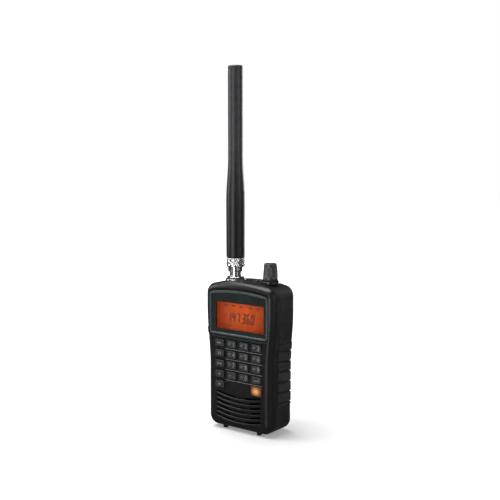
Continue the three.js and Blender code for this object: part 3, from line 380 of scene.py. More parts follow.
def case_form(name, inset, corner_steps=10, edge_steps=6):
    """The outer form with every face moved inwards by inset."""
    half = CASE_HALF - inset
    top = CASE_TOP - inset
    bottom = CASE_BOTTOM + inset
    form = box(name, (-half, FRONT_Y + inset, bottom), (half, BACK_Y - inset, top))
    for i in range(TAPER_STEPS + 1):
        z = TAPER_BOTTOM + (TAPER_TOP - TAPER_BOTTOM) * i / TAPER_STEPS
        bisect(form, (0, 0, z), (0, 0, 1))
    crown_reach = WAIST_HALF - CORNER_RADIUS - 0.5 * MM
    for i in range(-CROWN_STEPS, CROWN_STEPS + 1):
        bisect(form, (crown_reach * i / CROWN_STEPS, 0, 0), (1, 0, 0))
    for vert in form.data.vertices:
        x, z = vert.co.x, vert.co.z
        if z > top - TOUCH:
            vert.co.z = crown_height(x, top, CASE_HALF, CORNER_RADIUS, CROWN_SLOPE)
        if abs(x) > half - TOUCH:
            vert.co.x = math.copysign(case_half_width(z) - inset, x)
    radius = CORNER_RADIUS - inset

    def is_bottom_corner(edge):
        place = edge.verts[0].co
        is_outside = abs(place.x) > WAIST_HALF - inset - TOUCH
        return along_y(edge) and is_outside and place.z < bottom + TOUCH

    def is_top_corner(edge):
        place = edge.verts[0].co
        return along_y(edge) and abs(place.x) > half - TOUCH and place.z > TAPER_TOP + 1 * MM

    def is_rim(edge):
        if len(edge.link_faces) != 2:
            return False
        flat = [abs(face.normal.y) > 0.99 for face in edge.link_faces]
        return flat[0] != flat[1]

    top_width = radius * math.tan((math.pi / 2 - CROWN_SLOPE) / 2)
    bevel_edges(form, is_bottom_corner, radius, corner_steps)
    bevel_edges(form, is_top_corner, top_width, corner_steps)
    bevel_edges(form, is_rim, EDGE_RADIUS - inset, edge_steps)
    tidy_mesh(form)
    return form


# ------------------------------------------------------------------ front cover
# The front moulding, a shell of black ABS 2.2 mm thick. It is open for the display, the keys
# and the speaker slots, stands on two feet, and has a raised lip under the display. Four
# screws from behind hold it.
CASE_WALL = 2.2 * MM
SEAM_Y = case_middle_y - 5.5 * MM
SEAM_GAP = 0.3 * MM
SLIP = 0.3 * MM
DISPLAY_HALF = 28.4 * MM
DISPLAY_BOTTOM = 76.7 * MM
DISPLAY_TOP = 112.9 * MM
DISPLAY_CORNER = 3.2 * MM
DISPLAY_SLOPE = math.radians(9)
DISPLAY_RIM = 1.7 * MM
POCKET_DEPTH = 1.4 * MM
LEDGE = 2 * MM
LIP_NEAR = 1.2 * MM
LIP_FAR = 2.5 * MM
LIP_PROUD = 0.7 * MM
KEY_NAMES = [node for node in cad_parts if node.startswith("key_")]
KEY_FLANGE = 0.6 * MM
KEY_CORNER = 1.1 * MM
SLOT_COUNT = 6
SLOT_PITCH = 3.8 * MM
SLOT_BOTTOM = 9 * MM
SLOT_SPAN = 43.4 * MM
SLOT_WIDTH = 1.7 * MM
SLOT_SAG = 2.6 * MM
FOOT_RADIUS = 2 * MM
FOOT_X = 16.7 * MM
FOOT_INSET = 5.5 * MM
FOOT_LENGTH = 4 * MM
JACK_SEAT = 118.3 * MM
JACK_SEAT_RADIUS = 8.5 * MM
RING_SEAT = 118.2 * MM
RING_SEAT_RADIUS = 7.1 * MM
THROUGH = 4 * MM
AHEAD = FRONT_Y - 1 * MM


def boolean(target, cutters, operation="DIFFERENCE"):
    """Cuts, joins or crosses target with each cutter in turn, and takes the cutters away."""
    for cutter in cutters:
        pick(target)
        step = target.modifiers.new("step", "BOOLEAN")
        step.operation = operation
        step.solver = "MANIFOLD"
        step.object = cutter
        bpy.ops.object.modifier_apply(modifier=step.name)
        bpy.data.objects.remove(cutter)


def dress(obj, material, sharp=35):
    """Gives obj its material, smooth shading up to a sharp angle, and broad faces that stay flat."""
    obj.data.materials.clear()
    obj.data.materials.append(material)
    pick(obj)
    bpy.ops.object.shade_smooth_by_angle(angle=math.radians(sharp))
    flat = obj.modifiers.new("flat", "WEIGHTED_NORMAL")
    flat.keep_sharp = True
    bpy.ops.object.modifier_apply(modifier=flat.name)
    deselect()


def copy_of(obj, name):
    """A copy with its own mesh."""
    made = obj.copy()
    made.data = obj.data.copy()
    made.name = name
    bpy.context.scene.collection.objects.link(made)
    return made


def cylinder(name, middle, rotation, radius, length, sides):
    deselect()
    bpy.ops.mesh.primitive_cylinder_add(
        vertices=sides, radius=radius, depth=length, location=middle, rotation=rotation
    )
    made = bpy.context.object
    bpy.ops.object.transform_apply(location=True, rotation=True, scale=True)
    made.name = name
    return made


def rod(name, low, axis, radius, length, sides=32):
    """A round bar that starts at low and runs along +X, +Y or +Z."""
    turn = {"x": (0, math.pi / 2, 0), "y": (-math.pi / 2, 0, 0), "z": (0, 0, 0)}[axis]
    step = {"x": (1, 0, 0), "y": (0, 1, 0), "z": (0, 0, 1)}[axis]
    middle = Vector(low) + Vector(step) * length / 2
    return cylinder(name, middle, turn, radius, length, sides)


def middle_of(node):
    """The middle of a CAD node's box."""
    return [(low + high) / 2 for low, high in zip(*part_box(node))]


def crowned_plate(name, half, bottom, top, front, back, corner, slope):
    """A plate with round corners and a shallow crown along its top edge."""
    plate = box(name, (-half, front, bottom), (half, back, top))
    bends = 7
    for i in range(-bends, bends + 1):
        bisect(plate, ((half - corner) * 0.98 * i / bends, 0, 0), (1, 0, 0))
    for vert in plate.data.vertices:
        if vert.co.z > top - TOUCH:
            vert.co.z = crown_height(vert.co.x, top, half, corner, slope)

    def is_corner(edge, upper):
        place = edge.verts[0].co
        is_upper = place.z > (top + bottom) / 2
        return along_y(edge) and abs(place.x) > half - TOUCH and is_upper == upper

    top_width = corner * math.tan((math.pi / 2 - slope) / 2)
    bevel_edges(plate, lambda edge: is_corner(edge, False), corner, 6)
    bevel_edges(plate, lambda edge: is_corner(edge, True), top_width, 6)
    return plate


def display_plate(name, inset, front, back):
    """A plate in the outline of the display, with every side moved inwards by inset."""
    corner = max(DISPLAY_CORNER - inset, 0.8 * MM)
    half, bottom, top = DISPLAY_HALF - inset, DISPLAY_BOTTOM + inset, DISPLAY_TOP - inset
    return crowned_plate(name, half, bottom, top, front, back, corner, DISPLAY_SLOPE)


def open_front(cutter, face_y, spread):
    """Widens a cutter in front of face_y, so that the hole it makes has a chamfered edge."""
    bisect(cutter, (0, face_y + spread, 0), (0, 1, 0))
    corners = [vert.co for vert in cutter.data.vertices]
    middle_x = (min(c.x for c in corners) + max(c.x for c in corners)) / 2
    middle_z = (min(c.z for c in corners) + max(c.z for c in corners)) / 2
    for vert in cutter.data.vertices:
        ahead = face_y + spread - vert.co.y
        if ahead > TOUCH:
            vert.co.x += math.copysign(ahead, vert.co.x - middle_x)
            vert.co.z += math.copysign(ahead, vert.co.z - middle_z)
    return cutter


def rim_at(face_y):
    """A test for the edges round the front face of a plate, at face_y."""
    def is_rim(edge):
        is_front = all(vert.co.y < face_y + TOUCH for vert in edge.verts)
        return is_front and len(edge.link_faces) == 2 and edge.calc_face_angle(0) > 0.5
    return is_rim


def key_space(name, node, grow, front, back):
    """The block that a key fills, without its flange, grown by a clearance."""
    low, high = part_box(node)
    shrink = KEY_FLANGE - grow
    block = box(name, (low.x + shrink, front, low.z + shrink), (high.x - shrink, back, high.z - shrink))
    bevel_edges(block, along_y, KEY_CORNER + grow, 4)
    return block


def speaker_slot(middle_z):
    """A curved slot whose ends stand higher than its middle."""
    steps = 20
    low, high = middle_z - SLOT_WIDTH / 2, middle_z + SLOT_WIDTH / 2
    slot = box("slot", (-SLOT_SPAN / 2, AHEAD, low), (SLOT_SPAN / 2, FRONT_Y + THROUGH, high))
    bevel_edges(slot, along_y, SLOT_WIDTH * 0.45, 3)
    for i in range(1, steps):
        bisect(slot, (SLOT_SPAN * (i / steps - 0.5), 0, 0), (1, 0, 0))
    open_front(slot, FRONT_Y, 0.35 * MM)
    for vert in slot.data.vertices:
        vert.co.z += SLOT_SAG * (2 * vert.co.x / SLOT_SPAN) ** 2
    return slot


def feet(y):
    """A pair of round feet with softened lower edges."""
    made = [rod("foot", (side * FOOT_X, y, 0), "z", FOOT_RADIUS, FOOT_LENGTH) for side in (1, -1)]
    for foot in made:
        bevel_edges(foot, lambda edge: max(vert.co.z for vert in edge.verts) < 1e-5, 0.4 * MM, 2)
    return made


def open_shell(cover, seam_y, facing):
    """Hollows a cover, cuts it off beyond its seam, and closes its wall between the two outlines."""
    boolean(cover, [copy_of(inner_form, "core")])
    bisect(cover, (0, seam_y, 0), (0, facing, 0), clear_outer=True)
    mesh_parts(cover, "edges", lambda edge: edge.is_boundary)
    bpy.ops.mesh.bridge_edge_loops()
    leave_edit()
    tidy_mesh(cover)


front_cover = case_form("front_cover_shell", 0)
inner_form = case_form("inner_form", CASE_WALL, 6, 3)
boolean(front_cover, feet(FRONT_Y + FOOT_INSET), "UNION")
lip = display_plate("lip", -LIP_FAR, FRONT_Y - LIP_PROUD, FRONT_Y + 4 * MM)
boolean(lip, [display_plate("lip_room", -LIP_NEAR, FRONT_Y - 2 * MM, FRONT_Y + 6 * MM)])
bisect(lip, (0, 0, DISPLAY_BOTTOM + 5 * MM), (0, 0, 1), clear_outer=True, fill=True)
bevel_edges(lip, rim_at(FRONT_Y - LIP_PROUD), 0.45 * MM, 3)
boolean(lip, [case_form("lip_limit", -LIP_PROUD)], "INTERSECT")
boolean(front_cover, [lip], "UNION")
open_shell(front_cover, SEAM_Y - SEAM_GAP / 2, 1)

jack_x, jack_y, _ = middle_of("antenna_jack")
control_x, control_y, _ = middle_of("squelch_ring")


def seat_cutters():
    """The two round flats on the crown, under the antenna socket and the squelch ring."""
    return [
        rod("seat", (jack_x, jack_y, JACK_SEAT), "z", JACK_SEAT_RADIUS, THROUGH, 64),
        rod("seat", (control_x, control_y, RING_SEAT), "z", RING_SEAT_RADIUS, THROUGH, 64),
    ]


arch_groove = display_plate("arch", -2.0 * MM, AHEAD, FRONT_Y + 0.9 * MM)
boolean(arch_groove, [display_plate("arch_room", -0.9 * MM, FRONT_Y - 2 * MM, FRONT_Y + 2 * MM)])
bisect(arch_groove, (0, 0, DISPLAY_TOP - 2.9 * MM), (0, 0, -1), clear_outer=True, fill=True)
boolean(front_cover, [
    display_plate("window", DISPLAY_RIM + LEDGE, AHEAD, FRONT_Y + THROUGH),
    open_front(display_plate("pocket", -SLIP, AHEAD, FRONT_Y + POCKET_DEPTH), FRONT_Y, 0.3 * MM),
    arch_groove,
    *seat_cutters(),
])
boolean(front_cover, [
    open_front(key_space("hole", node, SLIP, AHEAD, FRONT_Y + THROUGH), FRONT_Y, 0.3 * MM)
    for node in KEY_NAMES
])
boolean(front_cover, [speaker_slot(SLOT_BOTTOM + SLOT_PITCH * i) for i in range(SLOT_COUNT)])
dress(front_cover, case_plastic)
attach(front_cover, "case")
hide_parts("front_cover")

# ------------------------------------------------------------------ rear cover
# The rear moulding, of the same black ABS. It carries the battery bay with its doorway, the
# seats and holes for the sockets, the control and the screws, two feet, and a shallow pocket
# at each side for the grip.
BAY_HALF = 17.3 * MM
BAY_ROOM_HALF = 16.1 * MM
BAY_WALL = 1.2 * MM
BAY_FLOOR = 3.2 * MM
BAY_ROOM_FLOOR = 6 * MM
DOOR_HALF = 19 * MM
DOOR_TOP = 64 * MM
DOOR_THICKNESS = 2 * MM
GRIP_LOW = 23 * MM
GRIP_HIGH = 72 * MM
GRIP_INNER = WAIST_HALF - EDGE_RADIUS
GRIP_DEPTH = 1 * MM
HEAD_RADIUS = 2.3 * MM
HEAD_HEIGHT = 1.6 * MM
POWER_HOLE = 3.9 * MM
EARPHONE_HOLE = 3.6 * MM
JACK_HOLE = 5 * MM
CONTROL_HOLE = 4.1 * MM
FAR = 0.3


def grip_block(side, grow):
    """The space of one side grip: from the seam round the rear corner."""
    inner = GRIP_INNER - grow
    front = SEAM_Y + SEAM_GAP / 2 - (SEAM_GAP if grow > 0 else 0)
    x_low, x_high = (inner, FAR) if side > 0 else (-FAR, -inner)
    return box("grip_block", (x_low, front, GRIP_LOW - grow), (x_high, FAR, GRIP_HIGH + grow))


rear_cover = case_form("rear_cover_shell", 0)
boolean(rear_cover, feet(BACK_Y - FOOT_INSET), "UNION")
open_shell(rear_cover, SEAM_Y + SEAM_GAP / 2, -1)
bay_low, bay_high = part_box("battery_left")
bay_front = bay_low.y - 0.4 * MM
bay_back = BACK_Y - 2.1 * MM
doorway_front = BACK_Y - DOOR_THICKNESS - SLIP
doorway_half = DOOR_HALF + SLIP
boolean(rear_cover, [
    box("bay", (-BAY_HALF, bay_front - BAY_WALL, BAY_FLOOR), (BAY_HALF, bay_back, DOOR_TOP + 2 * MM)),
], "UNION")
boolean(rear_cover, [
    box(
        "bay_room",
        (-BAY_ROOM_HALF, bay_front, BAY_ROOM_FLOOR),
        (BAY_ROOM_HALF, FAR, bay_high.z + 3 * MM),
    ),
    box("doorway", (-doorway_half, doorway_front, -FAR), (doorway_half, FAR, DOOR_TOP + SLIP)),
    *seat_cutters(),
])
screw_nodes = [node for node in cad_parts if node.startswith("case_screw_")]
for node in screw_nodes:
    x, _, z = middle_of(node)
    head_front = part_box(node)[1].y - HEAD_HEIGHT - SLIP
    boolean(rear_cover, [rod("head_hole", (x, head_front, z), "y", HEAD_RADIUS + SLIP, THROUGH)])
_, power_y, power_z = middle_of("power_jack")
earphone_x, earphone_y, _ = middle_of("earphone_jack")
hole_low = CASE_TOP - 6 * MM
boolean(rear_cover, [
    rod("power_hole", (-CASE_HALF - 1 * MM, power_y, power_z), "x", POWER_HOLE, THROUGH, 48),
    rod("earphone_hole", (earphone_x, earphone_y, CASE_TOP - 3 * MM), "z", EARPHONE_HOLE, THROUGH, 48),
    rod("antenna_hole", (jack_x, jack_y, hole_low), "z", JACK_HOLE, 2 * THROUGH, 48),
    rod("control_hole", (control_x, control_y, hole_low), "z", CONTROL_HOLE, 2 * THROUGH, 48),
])
pocket_core = case_form("pocket_core", GRIP_DEPTH + SLIP, 6, 4)
grip_pockets = [grip_block(side, SLIP) for side in (1, -1)]
for pocket in grip_pockets:
    boolean(pocket, [copy_of(pocket_core, "core")])
boolean(rear_cover, grip_pockets)
bpy.data.objects.remove(pocket_core)
bpy.data.objects.remove(inner_form)
dress(rear_cover, case_plastic)
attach(rear_cover, "case")
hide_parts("rear_cover")

# ------------------------------------------------------------------ battery door
# The lid of the battery bay, moulded in black ABS in the form of the rear cover. A rail along
# each side slides behind the cover. The thumb grooves and the arrow show how to pull it down.
RAIL_THICKNESS = 1.1 * MM
RAIL_LOW = 18 * MM
RAIL_HIGH = DOOR_TOP - 4 * MM
RAIL_OVERLAP = 0.8 * MM
THUMB_GROOVES = 6
lid_low, lid_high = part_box("battery_door")


def is_lid_outline(edge):
    ends = [vert.co for vert in edge.verts]
    at_side = all(abs(end.x) > DOOR_HALF - TOUCH for end in ends)
    at_top = all(end.z > DOOR_TOP - TOUCH for end in ends)
    return (at_side or at_top) and all(end.y > BACK_Y - TOUCH for end in ends)


battery_lid = case_form("battery_lid", 0)
boolean(battery_lid, [
    box("lid_block", (-DOOR_HALF, BACK_Y - DOOR_THICKNESS, -FAR), (DOOR_HALF, FAR, DOOR_TOP)),
], "INTERSECT")
bevel_edges(battery_lid, is_lid_outline, 0.35 * MM, 2)
for side in (1, -1):
    root = side * (DOOR_HALF - RAIL_OVERLAP)
    rail_x = sorted((root, side * lid_high.x))
    step_x = sorted((root, side * DOOR_HALF))
    rail_back = lid_low.y + RAIL_THICKNESS
    boolean(battery_lid, [
        box("rail", (rail_x[0], lid_low.y, RAIL_LOW), (rail_x[1], rail_back, RAIL_HIGH)),
        box("rail_step", (step_x[0], lid_low.y, RAIL_LOW), (step_x[1], BACK_Y - 1.6 * MM, RAIL_HIGH)),
    ], "UNION")
boolean(battery_lid, [
    rod("thumb_groove", (-9 * MM, BACK_Y + 0.25 * MM, (38 + 2.6 * i) * MM), "x", 0.95 * MM, 18 * MM, 20)
    for i in range(THUMB_GROOVES)
])
boolean(battery_lid, [rod("arrow", (0, BACK_Y - 0.35 * MM, 30 * MM), "y", 4 * MM, THROUGH, 3)])
dress(battery_lid, case_plastic)
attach(battery_lid, "door")
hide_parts("battery_door")

# ------------------------------------------------------------------ side grips
# A soft black rubber grip fills the pocket at each rear side and stands a little proud of the
# cover, with six slanting grooves across it.
GRIP_PROUD = 0.5 * MM
GROOVE_COUNT = 6
GROOVE_PITCH = 8.2 * MM
GROOVE_START = GRIP_LOW + 2.95 * MM
GROOVE_HALF = 0.75 * MM
GROOVE_LEAN = math.radians(6)
grip_rubber = moulded_plastic(
    "grip_rubber",
    (0.009, 0.009, 0.0095),
    (0.015, 0.015, 0.0155),
    (0.035, 0.035, 0.035),
    0.58,
    2600,
    0.00004,
)
groove_floor = case_form("groove_floor", 0.3 * MM, 6, 5)
grip_core = case_form("grip_core", GRIP_DEPTH, 6, 5)
for side, node in ((1, "grip_right"), (-1, "grip_left")):
    grip = case_form(f"side_{node}", -GRIP_PROUD, 6, 8)
    boolean(grip, [grip_block(side, 0)], "INTERSECT")
    boolean(grip, [copy_of(grip_core, "core")])
    inner, outer = sorted((side * 20 * MM, side * 40 * MM))
    for i in range(GROOVE_COUNT):
        z = GROOVE_START + GROOVE_PITCH * i
        groove = box("groove", (inner, -30 * MM, z - GROOVE_HALF), (outer, 30 * MM, z + GROOVE_HALF))
        mesh_parts(groove, "faces", lambda face: True)
        bpy.ops.transform.rotate(
            value=GROOVE_LEAN, orient_axis="X", center_override=(0, case_middle_y, z)
        )
        leave_edit()
        boolean(groove, [copy_of(groove_floor, "floor_form")])
        boolean(grip, [groove])
    dress(grip, grip_rubber)
    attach(grip, "case")
    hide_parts(node)
bpy.data.objects.remove(groove_floor)
bpy.data.objects.remove(grip_core)

# ------------------------------------------------------------------ display bezel
# A moulded ring with a satin grey finish and rolled rims, pressed into the front cover round
# the display.
bezel_low, bezel_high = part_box("display_frame")
frame_plastic = moulded_plastic(
    "frame_plastic",
    (0.036, 0.05, 0.054),
    (0.046, 0.064, 0.068),
    (0.19, 0.24, 0.25),
    0.32,
    4200,
    0.00001,
)
bezel = display_plate("display_bezel", 0, bezel_low.y, bezel_high.y)
opening = display_plate("opening", DISPLAY_RIM, bezel_low.y - 1 * MM, bezel_high.y + 1 * MM)
open_front(opening, bezel_low.y, 0.4 * MM)
bevel_edges(bezel, rim_at(bezel_low.y), 0.45 * MM, 4)
boolean(bezel, [opening])
dress(bezel, frame_plastic)
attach(bezel, "case")
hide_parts("display_frame")

# ------------------------------------------------------------------ display lens
# A clear acrylic pane glued inside the bezel. Its border is printed dark on the back, and its
# middle shows the panel.
lens_low, lens_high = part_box("display_lens")
panel_low, panel_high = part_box("lcd_glass")
WINDOW_LEFT = panel_low.x + 2.5 * MM
WINDOW_RIGHT = panel_high.x + 0.2 * MM
WINDOW_BOTTOM = panel_low.z + 0.3 * MM
WINDOW_TOP = panel_high.z - 2 * MM

lens_border = Paint("lens_border", 0.09, Coat_Weight=0.6, Coat_Roughness=0.03)
lens_border.clouds(45, 3, (0.013, 0.017, 0.016), (0.019, 0.025, 0.023))
lens_border.roughness(300, 4, 0.06, 0.16)
clear_lens = Paint("clear_lens", 0.03, Transmission_Weight=1.0, IOR=1.2, Alpha=0.35)
clear_lens.clouds(80, 3, (0.93, 0.9, 0.86), (0.98, 0.96, 0.93))
clear_lens.roughness(500, 4, 0.02, 0.06)

lens = display_plate("lens", DISPLAY_RIM + SLIP, lens_low.y, lens_high.y)
for x in (WINDOW_LEFT, WINDOW_RIGHT):
    bisect(lens, (x, 0, 0), (1, 0, 0))
for z in (WINDOW_BOTTOM, WINDOW_TOP):
    bisect(lens, (0, 0, z), (0, 0, 1))
dress(lens, lens_border.material)
lens.data.materials.append(clear_lens.material)
for face in lens.data.polygons:
    is_across = WINDOW_LEFT < face.center.x < WINDOW_RIGHT
    is_middle = is_across and WINDOW_BOTTOM < face.center.z < WINDOW_TOP
    if is_middle and abs(face.normal.y) > 0.9:
        face.material_index = 1
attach(lens, "case")
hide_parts("display_lens")

# ------------------------------------------------------------------ display panel
# The liquid crystal panel, two sheets of glass with softened edges on the backlight tray. It
# glows amber from the lamps behind it, most in its middle.
GLOW_ASIDE = 1.5 * MM
GLOW_ABOVE = 1 * MM
GLOW_REACH_X = 26 * MM
GLOW_REACH_Z = 19 * MM
panel_middle_z = (panel_low.z + panel_high.z) / 2
panel = box("lcd_panel", panel_low, panel_high)
bevel_edges(panel, lambda edge: True, 0.25 * MM, 2)
panel_paint = Paint("amber_lcd", 0.6, Specular_IOR_Level=0.1)
lamps = panel_paint.spot(GLOW_ASIDE, panel_middle_z + GLOW_ABOVE, GLOW_REACH_X, GLOW_REACH_Z)
panel_paint.clouds(160, 3, (0.07, 0.012, 0.003), (0.11, 0.02, 0.005))
panel_paint.glow(
    panel_paint.blend_colors(lamps, (0.2, 0.02, 0.003), (0.52, 0.07, 0.008), 0.05, 0.75), 0.9
)
dress(panel, panel_paint.material)
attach(panel, "case")
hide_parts("lcd_glass")

# ------------------------------------------------------------------ display digits
# The dark segments of a six-digit frequency and a few plain marks. In the real panel they are
# turned on in the liquid crystal; here they are thin slanting bars on the panel's front.
INK_FRONT = panel_low.y - 0.06 * MM
INK_BACK = panel_low.y + 0.02 * MM
SLANT = math.tan(math.radians(7))
SEGMENTS = {"0": "abcdef", "1": "bc", "2": "abdeg", "3": "abcdg", "4": "bcfg", "6": "acdefg", "7": "abc"}
DIGIT_SIZE = (3.3 * MM, 8.4 * MM, 1.1 * MM)
DIGIT_PITCH = 4.3 * MM
DIGITS_LEFT = -12.6 * MM
POINT_SIZE = 0.7 * MM
SMALL_DIGIT_SIZE = (2.1 * MM, 4.4 * MM, 0.42 * MM)
SMALL_DIGIT_PITCH = 2.9 * MM
SMALL_DIGITS_LEFT = -20 * MM
digits_bottom = panel_middle_z - 6.2 * MM


def ink_bar(x_low, z_low, x_high, z_high):
    bar = box("ink", (x_low, INK_FRONT, z_low), (x_high, INK_BACK, z_high))
    bevel_edges(bar, along_y, 0.35 * min(x_high - x_low, z_high - z_low), 2)
    return bar


def digit_bars(digit, x, z, size):
    """The segments of one digit of that width, height and thickness, from its lower left corner."""
    width, height, thick = size
    half = height / 2
    gap = 0.12 * thick
    across = (x + thick * 0.55, x + width - thick * 0.55)
    left, right = (x, x + thick), (x + width - thick, x + width)
    lower = (z + thick * 0.55, z + half - gap)
    upper = (z + half + gap, z + height - thick * 0.55)
    places = {
        "a": (across[0], z + height - thick, across[1], z + height),
        "b": (right[0], upper[0], right[1], upper[1]),
        "c": (right[0], lower[0], right[1], lower[1]),
        "d": (across[0], z, across[1], z + thick),
        "e": (left[0], lower[0], left[1], lower[1]),
        "f": (left[0], upper[0], left[1], upper[1]),
        "g": (across[0], z + half - thick / 2, across[1], z + half + thick / 2),
    }
    return [ink_bar(*places[segment]) for segment in SEGMENTS[digit]]


def join(parts, name):
    """Makes one piece of several."""
    deselect()
    for part in parts:
        part.select_set(True)
    bpy.context.view_layer.objects.active = parts[0]
    bpy.ops.object.join()
    parts[0].name = name
    return parts[0]


ink = []
for place, digit in enumerate("147360"):
    x = DIGITS_LEFT + place * DIGIT_PITCH + (1.0 * MM if place > 2 else 0)
    ink += digit_bars(digit, x, digits_bottom, DIGIT_SIZE)
point_x = DIGITS_LEFT + 3 * DIGIT_PITCH - POINT_SIZE / 2
ink.append(ink_bar(point_x, digits_bottom, point_x + POINT_SIZE, digits_bottom + POINT_SIZE))
for place, digit in enumerate("12"):
    x = SMALL_DIGITS_LEFT + place * SMALL_DIGIT_PITCH
    ink += digit_bars(digit, x, digits_bottom + 2.6 * MM, SMALL_DIGIT_SIZE)
for i in range(5):
    x = (-20.3 + 2.3 * i) * MM
    ink.append(ink_bar(x, panel_low.z + 2.6 * MM, x + 1.5 * MM, panel_low.z + 3.4 * MM))
for x in (-17, -10, -2, 7, 14):
    ink.append(ink_bar(x * MM, panel_high.z - 5.4 * MM, (x + 3) * MM, panel_high.z - 4.4 * MM))
digits = join(ink, "lcd_digits")
for vert in digits.data.vertices:
    vert.co.x += SLANT * (vert.co.z - digits_bottom)
ink_paint = Paint("lcd_ink", 0.35)
ink_paint.clouds(900, 2, (0.012, 0.003, 0.0015), (0.02, 0.005, 0.002))
dress(digits, ink_paint.material)
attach(digits, "case")

# ------------------------------------------------------------------ keys
# Each key is moulded silicone rubber: a cap that stands 1 mm out of the cover, on a thin flange
# that rests on the mat behind. The orange one has painted shade round its border, and a painted
# highlight and a painted glow in its middle. The marks are printed on the caps.
KEY_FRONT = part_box("key_5")[0].y
FLANGE_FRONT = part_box("keypad_mat")[0].y
KEY_BEVEL = 0.5 * MM
PRINT_FRONT = KEY_FRONT - 0.03 * MM
PRINT_BACK = KEY_FRONT + 0.02 * MM
KEY_GLOW_REACH_X = 5.6 * MM
KEY_GLOW_REACH_Z = 4.4 * MM
UPWARDS = math.pi
DOWNWARDS = 0
RIGHTWARDS = math.pi / 2
LEFTWARDS = -math.pi / 2

key_rubber = moulded_plastic(
    "key_rubber",
    (0.02, 0.021, 0.023),
    (0.03, 0.031, 0.033),
    (0.075, 0.077, 0.08),
    0.45,
    3000,
    0.000015,
)
# The orange key's colour runs from painted shade at its border to a painted highlight in its middle, and
# its emission is a painted glow.
orange_paint = Paint("orange_rubber", 0.38)
painted_glow_x, _, painted_glow_z = middle_of("key_function")
painted_key_glow = orange_paint.spot(painted_glow_x, painted_glow_z, KEY_GLOW_REACH_X, KEY_GLOW_REACH_Z)
orange_paint.color(
    orange_paint.blend_colors(painted_key_glow, (0.1, 0.04, 0.014), (0.5, 0.2, 0.05), 0.12, 0.7)
)
orange_paint.glow(orange_paint.blend_colors(painted_key_glow, (0, 0, 0), (0.9, 0.38, 0.1), 0.3, 0.9), 0.5)
orange_paint.grain(3000, 0.000012)
legend_paint = Paint("legend_ink", 0.5)
legend_paint.clouds(1500, 3, (0.16, 0.165, 0.17), (0.24, 0.245, 0.25))


def key_cap(node):
    """A cap with a softly rounded front, on a flange that is wider all round."""
    low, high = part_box(node)
    cap = key_space(f"cap_{node}", node, 0, KEY_FRONT, high.y)
    bevel_edges(cap, rim_at(KEY_FRONT), KEY_BEVEL, 4)
    flange = box("flange", (low.x, FLANGE_FRONT, low.z), (high.x, high.y, high.z))
    bevel_edges(flange, along_y, KEY_CORNER, 4)
    boolean(cap, [flange], "UNION")
    return cap


def letter_mark(text, x, z, size):
    """A printed digit, made a mesh before it is stood upright on the cap."""
    deselect()
    bpy.ops.object.text_add(location=(0, 0, 0))
    made = bpy.context.object
    made.data.body = text
    made.data.size = size
    made.data.align_x = "CENTER"
    made.data.align_y = "CENTER"
    made.data.extrude = 0.02 * MM
    bpy.ops.object.convert(target="MESH")
    made = bpy.context.object
    made.rotation_euler = (math.pi / 2, 0, 0)
    made.location = (x, KEY_FRONT - 0.005 * MM, z)
    bpy.ops.object.transform_apply(location=True, rotation=True, scale=True)
    tidy_mesh(made)
    return made


def bar_mark(x, z, width, height):
    low = (x - width / 2, PRINT_FRONT, z - height / 2)
    high = (x + width / 2, PRINT_BACK, z + height / 2)
    return box("mark", low, high)


def triangle_mark(x, z, radius, turn):
    """A triangle that points downwards and is then turned."""
    made = rod("mark", (0, PRINT_FRONT, 0), "y", radius, PRINT_BACK - PRINT_FRONT, 3)
    for vert in made.data.vertices:
        old = vert.co.copy()
        vert.co.x = x + old.x * math.cos(turn) - old.z * math.sin(turn)
        vert.co.z = z + old.x * math.sin(turn) + old.z * math.cos(turn)
    return made


def key_marks(label, x, z):
    """The printed marks of a key whose middle is at x, z."""
    if label.isdigit():
        return [
            letter_mark(label, x + 2.2 * MM, z, 5.0 * MM),
            bar_mark(x - 1.6 * MM, z + 0.9 * MM, 2.6 * MM, 0.35 * MM),
            bar_mark(x - 2.0 * MM, z - 0.1 * MM, 1.8 * MM, 0.35 * MM),
        ]
    if label == "dot":
        return [
            bar_mark(x + 2.2 * MM, z - 0.9 * MM, 0.7 * MM, 0.7 * MM),
            bar_mark(x - 1.4 * MM, z, 2.4 * MM, 0.35 * MM),
        ]
    if label == "enter":
        return [
            bar_mark(x + 0.9 * MM, z - 0.4 * MM, 3.4 * MM, 0.4 * MM),
            bar_mark(x + 2.4 * MM, z + 0.5 * MM, 0.4 * MM, 1.4 * MM),
            triangle_mark(x - 1.2 * MM, z - 0.4 * MM, 0.9 * MM, LEFTWARDS),
        ]
    if label == "up":
        return [triangle_mark(x, z, 1.35 * MM, UPWARDS)]
    if label == "down":
        return [triangle_mark(x, z, 1.35 * MM, DOWNWARDS)]
    if label == "scan":
        return [
            triangle_mark(x - 1.5 * MM, z, 1.15 * MM, LEFTWARDS),
            triangle_mark(x + 0.59 * MM, z, 1.15 * MM, LEFTWARDS),
        ]
    if label == "hold":
        return [bar_mark(x + i * 0.8 * MM, z, 0.7 * MM, 2.4 * MM) for i in (-1, 1)]
    if label == "search":
        return [
            triangle_mark(x - 1.3 * MM, z, 1.1 * MM, RIGHTWARDS),
            triangle_mark(x + 1.3 * MM, z, 1.1 * MM, LEFTWARDS),
        ]
    return []


for node in KEY_NAMES:
    # The orange key takes the paint with the painted glow, highlight and shade.
    has_painted_glow = node == "key_function"
    cap = key_cap(node)
    dress(cap, orange_paint.material if has_painted_glow else key_rubber)
    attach(cap, node)
    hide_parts(node)
    x, _, z = middle_of(node)
    marks = key_marks(node[len("key_"):], x, z)
    if marks:
        legend = join(marks, f"legend_{node}")
        dress(legend, legend_paint.material)
        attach(legend, node)
